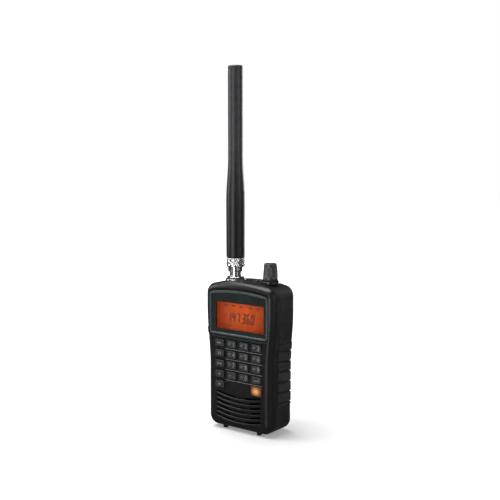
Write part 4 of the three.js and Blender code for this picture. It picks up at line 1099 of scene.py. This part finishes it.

# ------------------------------------------------------------------ pale lines
# Thin pale grey lines on the front cover under each row of the keypad, in the same grey as the
# marks on the keys.
RULE_LEFT = -12.6 * MM
RULE_RIGHT = 23.4 * MM
RULE_BOTTOM = 65.75 * MM
RULE_TOP = 66.1 * MM
ROW_PITCH = 8.36 * MM
rules = join([
    box(
        "rule",
        (RULE_LEFT, FRONT_Y - 0.03 * MM, RULE_BOTTOM - ROW_PITCH * i),
        (RULE_RIGHT, FRONT_Y + 0.02 * MM, RULE_TOP - ROW_PITCH * i),
    )
    for i in range(4)
], "pale_row_lines")
dress(rules, legend_paint.material)
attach(rules, "case")

# ------------------------------------------------------------------ volume knob
# A ribbed knob of glossy black ABS pushed onto the steel shaft. It narrows upwards, and its
# turned top has a notch that shows how far it is turned.
KNOB_ROOT = 6.1 * MM
KNOB_TIP = 5.1 * MM
RIB_COUNT = 30
RIB_DEPTH = 0.22 * MM
RIB_STEPS = 6
knob_plastic = moulded_plastic(
    "knob_plastic",
    (0.02, 0.02, 0.021),
    (0.026, 0.026, 0.027),
    (0.07, 0.07, 0.07),
    0.26,
    2600,
    0.000003,
)
knob_plastic.node_tree.nodes["Principled BSDF"].inputs["Specular IOR Level"].default_value = 0.8
knob_low, knob_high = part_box("volume_knob")
shaft_low, shaft_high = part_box("volume_shaft")
shaft_radius = (shaft_high.x - shaft_low.x) / 2
control_middle = middle_of("volume_knob")[:2]
knob_skirt = knob_low.z + 2.2 * MM
knob_crown = knob_high.z - 1.6 * MM
rib_levels = [knob_skirt + (knob_crown - knob_skirt) * i / RIB_STEPS for i in range(RIB_STEPS + 1)]


def arc(radius, middle_radius, middle_height, start, end, steps=5):
    """(radius, height) pairs along a round edge, with angles in degrees from outwards to up."""
    angles = [math.radians(start + (end - start) * i / steps) for i in range(steps + 1)]
    return [(middle_radius + radius * math.cos(a), middle_height + radius * math.sin(a)) for a in angles]


def turned(name, middle, profile, sides=48):
    """A piece turned about an upright axis, from (radius, height) pairs, bottom first.

    It is a ring where the last pair is the first one again, and otherwise has flat ends."""
    deselect()
    is_ring = profile[0] == profile[-1]
    radius, height = profile[0]
    bpy.ops.mesh.primitive_circle_add(
        vertices=sides,
        radius=radius,
        fill_type="NOTHING" if is_ring else "NGON",
        location=(middle[0], middle[1], height),
    )
    made = bpy.context.object
    bpy.ops.object.transform_apply(location=True, rotation=True, scale=True)
    made.name = name
    mesh_parts(made, "edges" if is_ring else "faces", lambda part: True)
    for next_radius, next_height in profile[1:]:
        bpy.ops.mesh.extrude_region_move(
            TRANSFORM_OT_translate={"value": (0, 0, next_height - height)}
        )
        scale = next_radius / radius
        bpy.ops.transform.resize(
            value=(scale, scale, 1), center_override=(middle[0], middle[1], next_height)
        )
        radius, height = next_radius, next_height
    leave_edit()
    tidy_mesh(made, 2e-6)
    return made


def knob_radius(z):
    return KNOB_ROOT + (KNOB_TIP - KNOB_ROOT) * (z - knob_low.z) / (knob_high.z - knob_low.z)


def from_axis(vert, middle):
    """How far and which way a vertex lies from an upright axis."""
    return Vector((vert.co.x - middle[0], vert.co.y - middle[1], 0))


knob = turned("volume_knob_cap", control_middle, [
    (KNOB_ROOT - 0.3 * MM, knob_low.z),
    (KNOB_ROOT - 0.05 * MM, knob_low.z + 0.25 * MM),
    (knob_radius(knob_skirt - 0.3 * MM), knob_skirt - 0.3 * MM),
    *[(knob_radius(z), z) for z in rib_levels],
    (knob_radius(knob_crown), knob_crown + 0.3 * MM),
    *arc(0.8 * MM, KNOB_TIP - 0.85 * MM, knob_high.z - 0.8 * MM, 0, 90),
    (3.7 * MM, knob_high.z),
    (3.4 * MM, knob_high.z - 0.35 * MM),
    (0.6 * MM, knob_high.z - 0.5 * MM),
], RIB_COUNT * 6)
for vert in knob.data.vertices:
    above, below = vert.co.z - rib_levels[0], rib_levels[-1] - vert.co.z
    if above > -TOUCH and below > -TOUCH:
        across = from_axis(vert, control_middle)
        turn = math.atan2(across.y, across.x) * RIB_COUNT
        fade = smooth_step(0, 1 * MM, min(above, below) + 0.2 * MM)
        depth = RIB_DEPTH * (0.5 - 0.5 * math.cos(turn)) ** 0.7 * fade
        vert.co -= across.normalized() * depth
bore_low = knob_low.z - 1 * MM
bore_length = shaft_high.z + SLIP - bore_low
boolean(knob, [
    rod("bore", (*control_middle, bore_low), "z", shaft_radius + SLIP, bore_length, 48),
    box(
        "pointer",
        (control_middle[0] - 0.3 * MM, control_middle[1] - KNOB_TIP - 1 * MM, knob_high.z - 0.25 * MM),
        (control_middle[0] + 0.3 * MM, control_middle[1] - 2.2 * MM, knob_high.z + 1 * MM),
    ),
])
dress(knob, knob_plastic, 50)
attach(knob, "volume")
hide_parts("volume_knob")

# ------------------------------------------------------------------ squelch ring
# A glossy black plastic ring that turns under the knob. Its tube runs down round the shaft to
# the control, and small notches round its edge give it grip.
NOTCHES = 24
TUBE_RADIUS = 3.8 * MM
RING_THICKNESS = 2 * MM
gloss_black = Paint("gloss_black", 0.14, Coat_Weight=0.3, Coat_Roughness=0.08)
gloss_black.clouds(200, 3, (0.012, 0.012, 0.013), (0.02, 0.02, 0.021))
gloss_black.roughness(800, 3, 0.1, 0.2)
ring_low, ring_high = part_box("squelch_ring")
ring_outer = (ring_high.x - ring_low.x) / 2
ring_bottom = ring_high.z - RING_THICKNESS
tube_inner = shaft_radius + SLIP
notch_reach = ring_outer + 0.15 * MM
squelch = turned("squelch_dial", control_middle, [
    (tube_inner, ring_low.z),
    (TUBE_RADIUS, ring_low.z),
    (TUBE_RADIUS, ring_bottom),
    (ring_outer - 0.2 * MM, ring_bottom),
    (ring_outer, ring_bottom + 0.2 * MM),
    *arc(0.5 * MM, ring_outer - 0.5 * MM, ring_high.z - 0.5 * MM, 0, 90),
    (ring_outer - 1.1 * MM, ring_high.z),
    (tube_inner, ring_high.z),
    (tube_inner, ring_low.z),
], 96)
for i in range(NOTCHES):
    angle = 2 * math.pi * i / NOTCHES
    x = control_middle[0] + notch_reach * math.cos(angle)
    y = control_middle[1] + notch_reach * math.sin(angle)
    boolean(squelch, [rod("notch", (x, y, ring_bottom + 0.5 * MM), "z", 0.4 * MM, 1.0 * MM, 12)])
dress(squelch, gloss_black.material)
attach(squelch, "squelch")
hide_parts("squelch_ring")

# ------------------------------------------------------------------ antenna whip
# A flexible whip: a helix of wire under a smooth rubber skin, thick below and slim above, with
# a fine groove near its round tip. The skin is darker and fresher near its root.
WHIP_TIP = 5.85 * MM
WHIP_BORE = 4.2 * MM
TAPER_STEPS_WHIP = 12
WORN_FROM = 0.175
WORN_TO = 0.225
whip_low, whip_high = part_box("antenna_sleeve")
whip_root = (whip_high.x - whip_low.x) / 2
antenna_middle = middle_of("antenna_sleeve")[:2]
taper_start = whip_low.z + 44 * MM
taper_end = whip_low.z + 80 * MM
taper_length = taper_end - taper_start
groove_z = whip_high.z - 3.2 * MM
whip_levels = [taper_start + taper_length * i / TAPER_STEPS_WHIP for i in range(TAPER_STEPS_WHIP + 1)]

antenna_rubber = Paint("antenna_rubber", 0.36)
antenna_clouds = antenna_rubber.noise(240, 4)
root_color = antenna_rubber.blend_colors(antenna_clouds, (0.006, 0.006, 0.0065), (0.01, 0.01, 0.0105))
tip_color = antenna_rubber.blend_colors(antenna_clouds, (0.026, 0.026, 0.029), (0.036, 0.036, 0.04))
worn_share = antenna_rubber.blend_colors(
    antenna_rubber.height(), (0, 0, 0), (1, 1, 1), WORN_FROM, WORN_TO
)
antenna_rubber.color(antenna_rubber.mix(worn_share, root_color, tip_color))
antenna_rubber.roughness(500, 4, 0.32, 0.42)
antenna_rubber.grain(1800, 0.000012)


def whip_radius(z):
    share = min(max((z - taper_start) / taper_length, 0), 1)
    return whip_root + (WHIP_TIP - whip_root) * (1 - math.cos(math.pi * share)) / 2


whip = turned("whip", antenna_middle, [
    (0.5 * MM, whip_high.z - 6 * MM),
    (WHIP_BORE, whip_high.z - 6 * MM),
    (WHIP_BORE, whip_low.z),
    *arc(0.6 * MM, whip_root - 0.6 * MM, whip_low.z + 0.6 * MM, -90, 0),
    *[(whip_radius(z), z) for z in whip_levels],
    (WHIP_TIP, groove_z - 0.35 * MM),
    (WHIP_TIP - 0.25 * MM, groove_z - 0.2 * MM),
    (WHIP_TIP - 0.25 * MM, groove_z + 0.2 * MM),
    (WHIP_TIP, groove_z + 0.35 * MM),
    *arc(1.5 * MM, WHIP_TIP - 1.5 * MM, whip_high.z - 1.5 * MM, 0, 90, 6),
    (0.5 * MM, whip_high.z),
], 72)
dress(whip, antenna_rubber.material, 45)
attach(whip, "antenna")
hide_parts("antenna_sleeve")

# ------------------------------------------------------------------ bayonet collar
# A turned and chromed brass sleeve under a knurled ring. Two slanting slots in the sleeve lock
# on the socket's lugs when it is pushed down and turned.
COLLAR_SLEEVE = 6.1 * MM
COLLAR_LIP = 1.3 * MM
BARREL = 4.8 * MM
LUG_RADIUS = 1 * MM
LUG_REACH = 0.8 * MM
BAYONET_LIFT = 1.6 * MM
BAYONET_TURN = math.radians(75)
PLUG_NECK = 3.9 * MM
KNURLS = 36
KNURL_RISE = 3.2 * MM
KNURL_DEPTH = 0.42 * MM
KNURL_STEPS = 6
SLOT_STEPS = 12
chrome = Paint("chrome", 0.12, 1.0)
chrome.clouds(120, 4, (0.72, 0.73, 0.74), (0.86, 0.86, 0.87))
chrome.roughness(700, 4, 0.07, 0.2)
collar_low, collar_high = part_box("antenna_collar")
collar_ring = (collar_high.x - collar_low.x) / 2
collar_step = collar_low.z + 3.8 * MM
lug_z = collar_low.z + 1 * MM + BAYONET_LIFT + LUG_RADIUS + SLIP
lip_bottom = collar_high.z - COLLAR_LIP
flange_bottom = lip_bottom - 1.4 * MM - 1.2 * MM
flange_room = COLLAR_SLEEVE - 0.2 * MM + SLIP
knurl_length = collar_high.z - collar_step - 1.2 * MM
knurl_levels = [
    collar_step + 0.6 * MM + knurl_length * i / KNURL_STEPS for i in range(KNURL_STEPS + 1)
]
collar = turned("bayonet_collar", antenna_middle, [
    (BARREL + SLIP, collar_low.z),
    *arc(0.3 * MM, COLLAR_SLEEVE - 0.3 * MM, collar_low.z + 0.3 * MM, -90, 0, 3),
    (COLLAR_SLEEVE, collar_step - 0.5 * MM),
    *arc(0.5 * MM, COLLAR_SLEEVE + 0.5 * MM, collar_step - 0.5 * MM, 180, 90, 4),
    (collar_ring - 0.4 * MM, collar_step),
    (collar_ring, collar_step + 0.4 * MM),
    *[(collar_ring, z) for z in knurl_levels],
    (collar_ring, collar_high.z - 0.4 * MM),
    (collar_ring - 0.4 * MM, collar_high.z),
    (PLUG_NECK + SLIP, collar_high.z),
    (PLUG_NECK + SLIP, lip_bottom),
    (flange_room, lip_bottom),
    (flange_room, flange_bottom - SLIP),
    (BARREL + SLIP, flange_bottom - SLIP - 0.8 * MM),
    (BARREL + SLIP, collar_low.z),
], KNURLS * 4)
for vert in collar.data.vertices:
    across = from_axis(vert, antenna_middle)
    if across.length > collar_ring - 0.01 * MM:
        turn = math.atan2(across.y, across.x) * KNURLS
        slant = (vert.co.z - collar_step) / KNURL_RISE * 2 * math.pi
        cut = (0.5 + 0.5 * math.cos(turn + slant)) * (0.5 + 0.5 * math.cos(turn - slant))
        vert.co -= across.normalized() * KNURL_DEPTH * (1 - cut)


def polar_rod(name, angle, z, radius, inner, outer):
    """A round bar that points away from the antenna's axis at that angle."""
    reach = (inner + outer) / 2
    middle = (
        antenna_middle[0] + reach * math.cos(angle),
        antenna_middle[1] + reach * math.sin(angle),
        z,
    )
    return cylinder(name, middle, (0, math.pi / 2, angle), radius, outer - inner, 24)


for start in (0, math.pi):
    shares = [i / SLOT_STEPS for i in range(SLOT_STEPS + 1)]
    slot_line = [(start - BAYONET_TURN * share, lug_z - BAYONET_LIFT * share) for share in shares]
    mouth = start - BAYONET_TURN
    slot_line += [(mouth, lug_z - BAYONET_LIFT - drop * MM) for drop in (1.2, 2.4, 3.6)]
    for angle, z in slot_line:
        boolean(collar, [
            polar_rod("slot", angle, z, LUG_RADIUS + SLIP, BARREL - 0.5 * MM, BARREL + 3 * MM)
        ])
dress(collar, chrome.material, 30)
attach(collar, "collar")
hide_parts("antenna_collar")

# ------------------------------------------------------------------ antenna socket
# The chromed brass socket is screwed through the crown: a threaded tail, a flange, a hexagon
# and a barrel with two lugs.
JACK_TAIL = 4.7 * MM
JACK_BORE = BARREL - 0.6 * MM
JACK_CORE = 1.6 * MM
JACK_FLANGE = 8.2 * MM
JACK_NECK = BARREL + 0.5 * MM
JACK_PITCH = 1.0 * MM
socket_low, socket_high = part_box("antenna_jack")
flange_top = JACK_SEAT + 1.3 * MM
hex_top = flange_top + 1.8 * MM
cup_floor = hex_top - 0.4 * MM
thread = []
level = socket_low.z + 0.4 * MM
while level < JACK_SEAT - 5 * MM:
    thread += [(JACK_TAIL - 0.35 * MM, level), (JACK_TAIL, level + JACK_PITCH / 2)]
    level += JACK_PITCH
socket = turned("bayonet_socket", antenna_middle, [
    (JACK_CORE, socket_low.z),
    (JACK_TAIL - 0.5 * MM, socket_low.z),
    *thread,
    (JACK_TAIL, level),
    (JACK_TAIL, JACK_SEAT + 0.2 * MM),
    (JACK_FLANGE, JACK_SEAT + 0.2 * MM),
    (JACK_FLANGE, flange_top - 0.5 * MM),
    *arc(0.4 * MM, JACK_FLANGE - 0.4 * MM, flange_top - 0.4 * MM, 0, 90, 3),
    (JACK_NECK, flange_top),
    (JACK_NECK, hex_top + 0.5 * MM),
    *arc(0.5 * MM, JACK_NECK, hex_top + 1.0 * MM, 270, 180, 3),
    (BARREL, socket_high.z - 0.4 * MM),
    (BARREL - 0.2 * MM, socket_high.z),
    (JACK_BORE + 0.1 * MM, socket_high.z),
    (JACK_BORE, socket_high.z - 0.2 * MM),
    (JACK_BORE, cup_floor),
    (JACK_CORE, cup_floor),
    (JACK_CORE, socket_low.z),
], 72)
hexagon = turned("hexagon", antenna_middle, [
    (6.9 * MM, flange_top - 0.1 * MM),
    (6.95 * MM, hex_top - 0.35 * MM),
    (6.6 * MM, hex_top),
], 6)
boolean(hexagon, [rod("hexagon_bore", (*antenna_middle, flange_top - 1 * MM), "z", BARREL, 4 * MM, 72)])
bevel_edges(hexagon, lambda edge: edge.is_convex and edge.calc_face_angle(0) > 0.7, 0.12 * MM, 2)
boolean(socket, [
    hexagon,
    *[
        polar_rod("lug", angle, lug_z, LUG_RADIUS, JACK_BORE + 0.1 * MM, BARREL + LUG_REACH)
        for angle in (0, math.pi)
    ],
], "UNION")
dress(socket, chrome.material, 30)
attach(socket, "case")
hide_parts("antenna_jack")

# ------------------------------------------------------------------ earphone and power sockets
# Two sockets of glossy black plastic, each a tube with a rounded lip, pressed into its hole in
# the rear cover. The power socket has a contact pin in its middle.
EARPHONE_BORE = 1.8 * MM
POWER_BORE = 2.75 * MM
SOCKET_CORE = 0.4 * MM
ear_low, ear_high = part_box("earphone_jack")
ear_radius = (ear_high.x - ear_low.x) / 2
earphone = turned("earphone_socket", (earphone_x, earphone_y), [
    (SOCKET_CORE, ear_low.z),
    (ear_radius, ear_low.z),
    (ear_radius, ear_high.z - 0.8 * MM),
    *arc(0.5 * MM, ear_radius - 0.5 * MM, ear_high.z - 0.5 * MM, 0, 90, 4),
    (EARPHONE_BORE + 0.4 * MM, ear_high.z),
    (EARPHONE_BORE, ear_high.z - 0.4 * MM),
    (EARPHONE_BORE, ear_low.z + 1 * MM),
    (SOCKET_CORE, ear_low.z + 1 * MM),
], 48)
dress(earphone, gloss_black.material)
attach(earphone, "case")
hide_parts("earphone_jack")


def lay_along_x(obj, y, z):
    """Lays a piece that was turned about the upright axis down, so that its top points to +X."""
    for vert in obj.data.vertices:
        vert.co = Vector((vert.co.z, y + vert.co.y, z - vert.co.x))
    tidy_mesh(obj)


power_low, power_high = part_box("power_jack")
power_radius = (power_high.z - power_low.z) / 2
power = turned("power_socket", (0, 0), [
    (SOCKET_CORE, power_low.x),
    (power_radius, power_low.x),
    (power_radius, power_high.x),
    (SOCKET_CORE, power_high.x),
], 48)
bevel_edges(power, lambda edge: all(vert.co.z < power_low.x + TOUCH for vert in edge.verts), 0.3 * MM, 3)
power_length = power_high.x - power_low.x
boolean(power, [rod("power_bore", (0, 0, power_low.x - 1 * MM), "z", POWER_BORE, power_length, 48)])
boolean(power, [
    turned("power_pin", (0, 0), [
        (0.35 * MM, power_low.x + 1.2 * MM),
        (0.65 * MM, power_low.x + 1.6 * MM),
        (0.65 * MM, power_high.x - 0.5 * MM),
    ], 24),
], "UNION")
lay_along_x(power, power_y, power_z)
dress(power, gloss_black.material)
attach(power, "case")
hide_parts("power_jack")

# ------------------------------------------------------------------ screws
# Six zinc-plated steel screws with domed heads and cross recesses: four hold the covers
# together, and two hold the clip's bracket to the rear cover.
THREAD_PITCH = 0.8 * MM
THREAD_RADIUS = 0.9 * MM
THREAD_DEPTH = 0.25 * MM
CROSS_ARM = 0.32 * MM
CROSS_REACH = 1.35 * MM
CROSS_DEPTH = 0.9 * MM
steel = Paint("steel", 0.3, 1.0)
steel.clouds(250, 4, (0.42, 0.42, 0.41), (0.56, 0.56, 0.55))
steel.roughness(900, 4, 0.22, 0.4)


def screw(name, node):
    """A screw that points forwards, with its head at the back, in the room of its CAD node."""
    low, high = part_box(node)
    x, _, z = middle_of(node)
    length = high.y - low.y
    neck = length - HEAD_HEIGHT
    outline = [(0.3 * MM, 0), (THREAD_RADIUS - 0.3 * MM, 0.6 * MM)]
    at = 1.0 * MM
    while at < neck - 1 * MM:
        outline += [(THREAD_RADIUS - THREAD_DEPTH, at), (THREAD_RADIUS, at + THREAD_PITCH * 0.4)]
        at += THREAD_PITCH
    outline += [
        (THREAD_RADIUS, neck),
        (HEAD_RADIUS, neck),
        (HEAD_RADIUS, length - 0.8 * MM),
        *arc(0.7 * MM, HEAD_RADIUS - 0.75 * MM, length - 0.75 * MM, 0, 70, 4),
        (0.5 * MM, length),
    ]
    made = turned(name, (0, 0), outline, 32)
    bottom, top = length - CROSS_DEPTH, length + 1 * MM
    boolean(made, [
        box("recess", (-reach_x, -reach_y, bottom), (reach_x, reach_y, top))
        for reach_x, reach_y in ((CROSS_REACH, CROSS_ARM), (CROSS_ARM, CROSS_REACH))
    ])
    for vert in made.data.vertices:
        vert.co = Vector((x + vert.co.x, low.y + vert.co.z, z - vert.co.y))
    tidy_mesh(made)
    dress(made, steel.material)
    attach(made, "case")
    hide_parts(node)


for node in (*screw_nodes, "clip_screw_left", "clip_screw_right"):
    screw(f"fixing_{node}", node)

# ------------------------------------------------------------------ clip bracket and pin
# A pressed steel plate screwed to the rear cover, with two ears that hold the clip's pin. The
# pin is a short steel rod with chamfered ends.
PLATE_THICKNESS = 1.6 * MM
KNUCKLE = 2.4 * MM
EAR_WIDTH = 2 * MM
SCREW_HOLE = 1.2 * MM
bracket_low, bracket_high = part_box("clip_bracket")
pin_low, pin_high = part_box("clip_pin")
_, pivot_y, pivot_z = middle_of("clip_pin")
pin_radius = (pin_high.z - pin_low.z) / 2
clip_half = bracket_high.x
plate_back = bracket_low.y + PLATE_THICKNESS


def pin_hole():
    return rod("pin_hole", (-20 * MM, pivot_y, pivot_z), "x", pin_radius + SLIP, 40 * MM, 32)


bracket = box(
    "bracket_plate",
    (-clip_half, bracket_low.y, bracket_low.z),
    (clip_half, plate_back, bracket_high.z),
)
bevel_edges(bracket, along_y, 2 * MM, 5)
bevel_edges(bracket, lambda edge: all(vert.co.y > plate_back - TOUCH for vert in edge.verts), 0.25 * MM, 2)
for x in (-clip_half, clip_half - EAR_WIDTH):
    ear = box(
        "ear",
        (x, plate_back - 0.6 * MM, pivot_z - KNUCKLE),
        (x + EAR_WIDTH, pivot_y, pivot_z + KNUCKLE),
    )
    boolean(ear, [rod("ear_end", (x, pivot_y, pivot_z), "x", KNUCKLE, EAR_WIDTH, 40)], "UNION")
    boolean(bracket, [ear], "UNION")
clip_screw_x, _, clip_screw_z = middle_of("clip_screw_right")
boolean(bracket, [
    pin_hole(),
    rod("screw_hole", (clip_screw_x, 0, clip_screw_z), "y", SCREW_HOLE, 30 * MM, 24),
    rod("screw_hole", (-clip_screw_x, 0, clip_screw_z), "y", SCREW_HOLE, 30 * MM, 24),
])
dress(bracket, steel.material)
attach(bracket, "case")
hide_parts("clip_bracket")

hinge_pin = turned("hinge_pin", (0, 0), [
    (pin_radius * 0.6, pin_low.x),
    (pin_radius, pin_low.x + 0.3 * MM),
    (pin_radius, pin_high.x - 0.3 * MM),
    (pin_radius * 0.6, pin_high.x),
], 32)
lay_along_x(hinge_pin, pivot_y, pivot_z)
dress(hinge_pin, steel.material)
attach(hinge_pin, "case")
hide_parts("clip_pin")

# ------------------------------------------------------------------ clip lever
# A lever moulded in black ABS that turns on the pin. Its foot hooks over a belt, its top is a
# ribbed thumb pad, and two knuckles carry it.
LEVER_THICKNESS = 2 * MM
HOOK_LENGTH = 12
HOOK_NARROWING = 0.18
THUMB_RIBS = 5
lever_low, lever_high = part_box("clip_lever")
lever_inner = lever_high.y - LEVER_THICKNESS
lever_half = lever_high.x
hook_line = {
    0: lever_low.y + 0.9 * MM,
    1.2: lever_low.y,
    2.4: lever_low.y + 0.4 * MM,
    4.6: lever_inner - 0.9 * MM,
    7: lever_inner,
    HOOK_LENGTH: lever_inner,
}
foot_back = {0: lever_high.y - 2.2 * MM, 1.2: lever_high.y - 0.5 * MM}


def is_lever_back(edge):
    is_back = all(vert.co.y > lever_high.y - TOUCH for vert in edge.verts)
    return is_back and len(edge.link_faces) == 2 and edge.calc_face_angle(0) > 0.6


lever = box("belt_lever", (-lever_half, lever_inner, lever_low.z), (lever_half, lever_high.y, lever_high.z))
for rise in list(hook_line)[1:]:
    bisect(lever, (0, 0, lever_low.z + rise * MM), (0, 0, 1))
for vert in lever.data.vertices:
    rise = (vert.co.z - lever_low.z) / MM
    line = hook_line if vert.co.y < lever_inner + TOUCH else foot_back
    for level, y in line.items():
        if abs(rise - level) < 0.01:
            vert.co.y = y
    if rise < HOOK_LENGTH + 0.1:
        vert.co.x *= 1 - HOOK_NARROWING * (1 - smooth_step(0, HOOK_LENGTH, rise))
bevel_edges(lever, is_lever_back, 0.6 * MM, 4)
for i in range(THUMB_RIBS):
    rib_z = lever_high.z - (2.6 + 2 * i) * MM
    boolean(lever, [
        rod("thumb_rib", (-7 * MM, lever_high.y + 0.1 * MM, rib_z), "x", 0.55 * MM, 14 * MM, 16)
    ])
hollow = box(
    "hollow",
    (-6 * MM, lever_high.y - 0.6 * MM, lever_low.z + 14 * MM),
    (6 * MM, lever_high.y + 1 * MM, lever_high.z - 16 * MM),
)
bevel_edges(hollow, along_y, 2 * MM, 5)
boolean(lever, [hollow])
for side in (1, -1):
    inner, outer = sorted((side * 3.4 * MM, side * lever_half))
    knuckle = rod("knuckle", (inner, pivot_y, pivot_z), "x", KNUCKLE, outer - inner, 40)
    boolean(knuckle, [
        box("web", (inner, pivot_y, pivot_z - 2 * MM), (outer, lever_inner + 0.5 * MM, pivot_z + 2 * MM)),
    ], "UNION")
    boolean(lever, [knuckle], "UNION")
boolean(lever, [pin_hole()])
dress(lever, case_plastic)
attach(lever, "clip")
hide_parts("clip_lever")

# ------------------------------------------------------------------ inner pieces
# The circuit boards, speaker, cells, contacts and control stay as they are in the frame, and
# each gets the finish of its own stuff: lacquered board, copper, paper, rubber, steel or
# printed battery skin. The speaker frame is instead near black, as painted shade behind the
# speaker slots.
BAND_HEIGHT = 0.042


def clouded(name, dark, light, rough, metal=0.0, scale=200):
    """A plain finish with slight clouding in its colour and gloss."""
    paint = Paint(name, rough, metal)
    paint.clouds(scale, 4, dark, light)
    paint.roughness(scale * 3, 3, rough - 0.06, rough + 0.08)
    return paint.material


circuit_board = clouded("circuit_board", (0.006, 0.06, 0.025), (0.012, 0.1, 0.045), 0.35)
copper_wire = clouded("copper_wire", (0.5, 0.21, 0.09), (0.7, 0.32, 0.15), 0.28, 1.0)
white_plastic = clouded("white_plastic", (0.6, 0.59, 0.56), (0.75, 0.74, 0.72), 0.45)
opal_plastic = clouded("opal_plastic", (0.62, 0.6, 0.55), (0.74, 0.72, 0.68), 0.5)
mat_rubber = clouded("mat_rubber", (0.02, 0.02, 0.022), (0.03, 0.03, 0.032), 0.7)
speaker_paper = clouded("speaker_paper", (0.014, 0.013, 0.012), (0.035, 0.032, 0.03), 0.85, 0, 900)
# Near-black steel for the speaker frame: painted shade that keeps the room behind the speaker slots dark.
painted_shade_steel = clouded("painted_shade_steel", (0.012, 0.012, 0.012), (0.02, 0.02, 0.02), 0.55)

battery_paint = Paint("battery_skin", 0.3)
upper_skin = battery_paint.blend_colors(battery_paint.noise(120, 2), (0.03, 0.09, 0.16), (0.04, 0.12, 0.2))
lower_skin = battery_paint.blend_colors(battery_paint.noise(90, 2), (0.5, 0.5, 0.48), (0.6, 0.6, 0.58))
above_band = battery_paint.blend_colors(
    battery_paint.height(), (0, 0, 0), (1, 1, 1), BAND_HEIGHT, BAND_HEIGHT + 0.5 * MM
)
battery_paint.color(battery_paint.mix(above_band, lower_skin, upper_skin))

for node, paint in {
    "lcd_backlight": opal_plastic,
    "keypad_mat": mat_rubber,
    "control_board": circuit_board,
    "radio_board": circuit_board,
    "radio_shield": steel.material,
    "speaker_frame": painted_shade_steel,
    "speaker_cone": speaker_paper,
    "battery_left": battery_paint.material,
    "battery_right": battery_paint.material,
    "contact_bridge": steel.material,
    "battery_spring": steel.material,
    "control_pot": steel.material,
    "volume_shaft": steel.material,
    "jack_insulator": white_plastic,
    "jack_nut": steel.material,
    "antenna_washer": steel.material,
    "antenna_plug": chrome.material,
    "antenna_coil": copper_wire,
}.items():
    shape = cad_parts[node]
    shape.data.materials.clear()
    shape.data.materials.append(paint)
